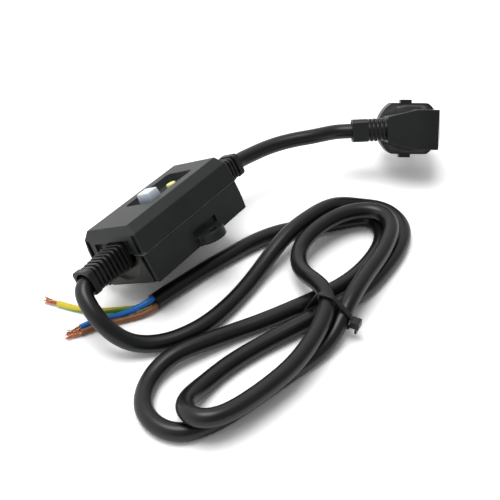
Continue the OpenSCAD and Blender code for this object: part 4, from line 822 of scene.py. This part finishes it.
# Terminals and cord clamps: pale moulded blocks with slotted screws take the cores of both cords, and a
# black bar with two screws holds each cord.
softened("line_block", "line_terminals", pale_plastic, "base", width=0.00015)
softened("load_block", "load_terminals", pale_plastic, "base", width=0.00015)
slot_line = [(-0.0014, -0.0002), (0.0014, -0.0002), (0.0014, 0.0002), (-0.0014, 0.0002)]
terminal_screw = screw_mesh("terminal_screw", head=(0.0015, 0.0015), shank=(0.0015, 0.003), outline=slot_line)
terminal_x = 0.0197
pole_step = 0.0065
terminal_top = 0.0187
terminal_places = []
for x in (-terminal_x, terminal_x):
    for y in (-pole_step, 0, pole_step):
        terminal_places.append(housing_frame @ Matrix.Translation((x, y, terminal_top)))
set_out("terminal_screw_set", terminal_screw, terminal_places, zinc, "terminal_screws")
softened("line_bar", "line_clamp", shell_plastic, "base", width=0.0002)
softened("load_bar", "load_clamp", shell_plastic, "base", width=0.0002)
clamp_screw = screw_mesh("clamp_screw", head=(0.0023, 0.0016), shank=(0.0012, 0.015),
                         outline=cross(reach=0.0013, half=0.00035))
clamp_screw_places = corner_places(x=0.0302, y=0.0075, z=0.0242, flip=False)
set_out("clamp_screw_set", clamp_screw, clamp_screw_places, zinc, "clamp_screws")
core_colours = [brown_insulation, blue_insulation, earth_insulation]
inner_radius = 0.0012
cord_height = 16
entry_height = 14.2


def joined_cores(name, end, node):
    """The three cores from the end of a cord to its terminal block, at one end of the housing."""
    routes = []
    for across, up, pole in ((2.1, 1.2, 6.5), (0, -2.2, 0), (-2.1, 1.2, -6.5)):
        high = cord_height + up
        middle = ((across + pole) / 2, (high + entry_height) / 2)
        route = [(28.65, across, high), (27.5, across, high), (25.2, *middle),
                 (22.9, pole, entry_height), (21.7, pole, entry_height), (18.9, pole, entry_height)]
        routes.append(in_housing([(end * x, y, z) for x, y, z in route]))
    piece = laid_mesh(name, routes, core_colours, radius=inner_radius, rings=6, roundness=5)
    stripe_along(piece, routes[2], first=1.2, turn=3)
    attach(piece, "base")
    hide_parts(node)


joined_cores("line_wires", 1, "line_cores")
joined_cores("load_wires", -1, "load_cores")

# Plug: one black moulding over the pins and the end of the lead, with its own ribbed relief and a finger end.
# The pins are turned and nickel plated, with rounded tips, and stand in a pale bridge inside.
plug_plastic = moulded("plug_plastic", dark=(0.0085, 0.0095, 0.0092), light=(0.0125, 0.0143, 0.0137),
                       patch=70, roughness=(0.34, 0.44), grain=2600, depth=0.00003)
plug_shell = softened("plug_shell", "plug_body", plug_plastic, "base", width=0.0003)
plug_origin = (0.1505, -0.0586, 0.0283057)
plug_turn = math.radians(-56)
plug_tilt = math.radians(60)
plug_frame = Matrix.Translation(plug_origin) @ Matrix.Rotation(plug_turn, 4, "Z")
plug_frame = plug_frame @ Matrix.Rotation(plug_tilt, 4, "X")
into_plug = plug_frame.inverted()
polish_start = 0.0128
polish_roughness = 0.08
plug_polish = plug_shell.data.attributes.new("polish", "FLOAT", "POINT")
for vertex in plug_shell.data.vertices:
    plug_polish.data[vertex.index].value = float((into_plug @ vertex.co).x > polish_start)
polish_tree = plug_plastic.node_tree
polish_shader = polish_tree.nodes["Principled BSDF"]
polish_value = polish_tree.nodes.new("ShaderNodeAttribute")
polish_value.attribute_name = "polish"
polish_mix = polish_tree.nodes.new("ShaderNodeMix")
polish_mix.inputs["B"].default_value = polish_roughness
matt = polish_shader.inputs["Roughness"].links[0].from_socket
polish_tree.links.new(polish_value.outputs["Fac"], polish_mix.inputs["Factor"])
polish_tree.links.new(matt, polish_mix.inputs["A"])
polish_tree.links.new(polish_mix.outputs["Result"], polish_shader.inputs["Roughness"])
nickel = plated("nickel", dark=(0.5, 0.49, 0.46), light=(0.66, 0.65, 0.61), patch=300, roughness=(0.18, 0.3))
pin_work = bmesh.new()
pin_side = [(0, -19), (1.2, -18.85), (1.9, -18.4), (2.3, -17.6), (2.4, -16.6), (2.4, -0.1), (2.3, 0), (2, 0),
            (2, 9.9), (1.9, 10), (0, 10)]
pin_points = [pin_work.verts.new((radius / 1000, 0, height / 1000)) for radius, height in pin_side]
pin_edges = [pin_work.edges.new(pair) for pair in zip(pin_points, pin_points[1:])]
bmesh.ops.spin(pin_work, geom=pin_points + pin_edges, cent=(0, 0, 0), axis=(0, 0, 1), angle=2 * math.pi,
               steps=40, use_merge=True)
bmesh.ops.remove_doubles(pin_work, verts=pin_work.verts, dist=merge_distance)
bmesh.ops.recalc_face_normals(pin_work, faces=pin_work.faces)
pin_mesh = bpy.data.meshes.new("pin")
pin_work.to_mesh(pin_mesh)
pin_work.free()
pin_offset = 0.0095
plug_face = -0.017
pin_places = [plug_frame @ Matrix.Translation((0, side * pin_offset, plug_face)) for side in (-1, 1)]
pins = set_out("turned_pins", pin_mesh, pin_places, nickel, "contact_pins")
clips = softened("side_clips", "earth_clips", nickel, "base", width=0.00015)
socket = softened("socket_sleeve", "earth_socket", nickel, "base", width=0.0001)
bridge = softened("pin_block", "pin_bridge", pale_plastic, "base", width=0.0002)
inner_routes = (
    [(-12.875, 2.243, 10.2), (-9.93, 2.413, 10.2), (-5.15, 2.873, 8.7), (-1.5, 3.36, 0.05), (0, 3.36, -3.45),
     (0, 3.36, -5.95)],
    [(-12.633, -1.95, 10.2), (-9.688, -1.78, 10.2), (-5.053, -2.58, 8.7), (-1.5, -3.36, 0.05),
     (0, -3.36, -3.45), (0, -3.36, -5.95)],
    [(-12.754, 0.147, 6.8), (-9.809, 0.317, 6.8), (-3.002, 0.147, 5.3), (2, 0, 0.05), (3.5, 0, -3.45),
     (3.5, 0, -5.95)])
plug_routes = []
for route in inner_routes:
    plug_routes.append([plug_frame @ (Vector(point) / 1000) * 1000 for point in route])
plug_wires = laid_mesh("plug_wires", plug_routes, core_colours, radius=inner_radius, rings=6, roundness=5)
stripe_along(plug_wires, plug_routes[2], first=1.2, turn=3)
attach(plug_wires, "base")
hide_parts("plug_cores")
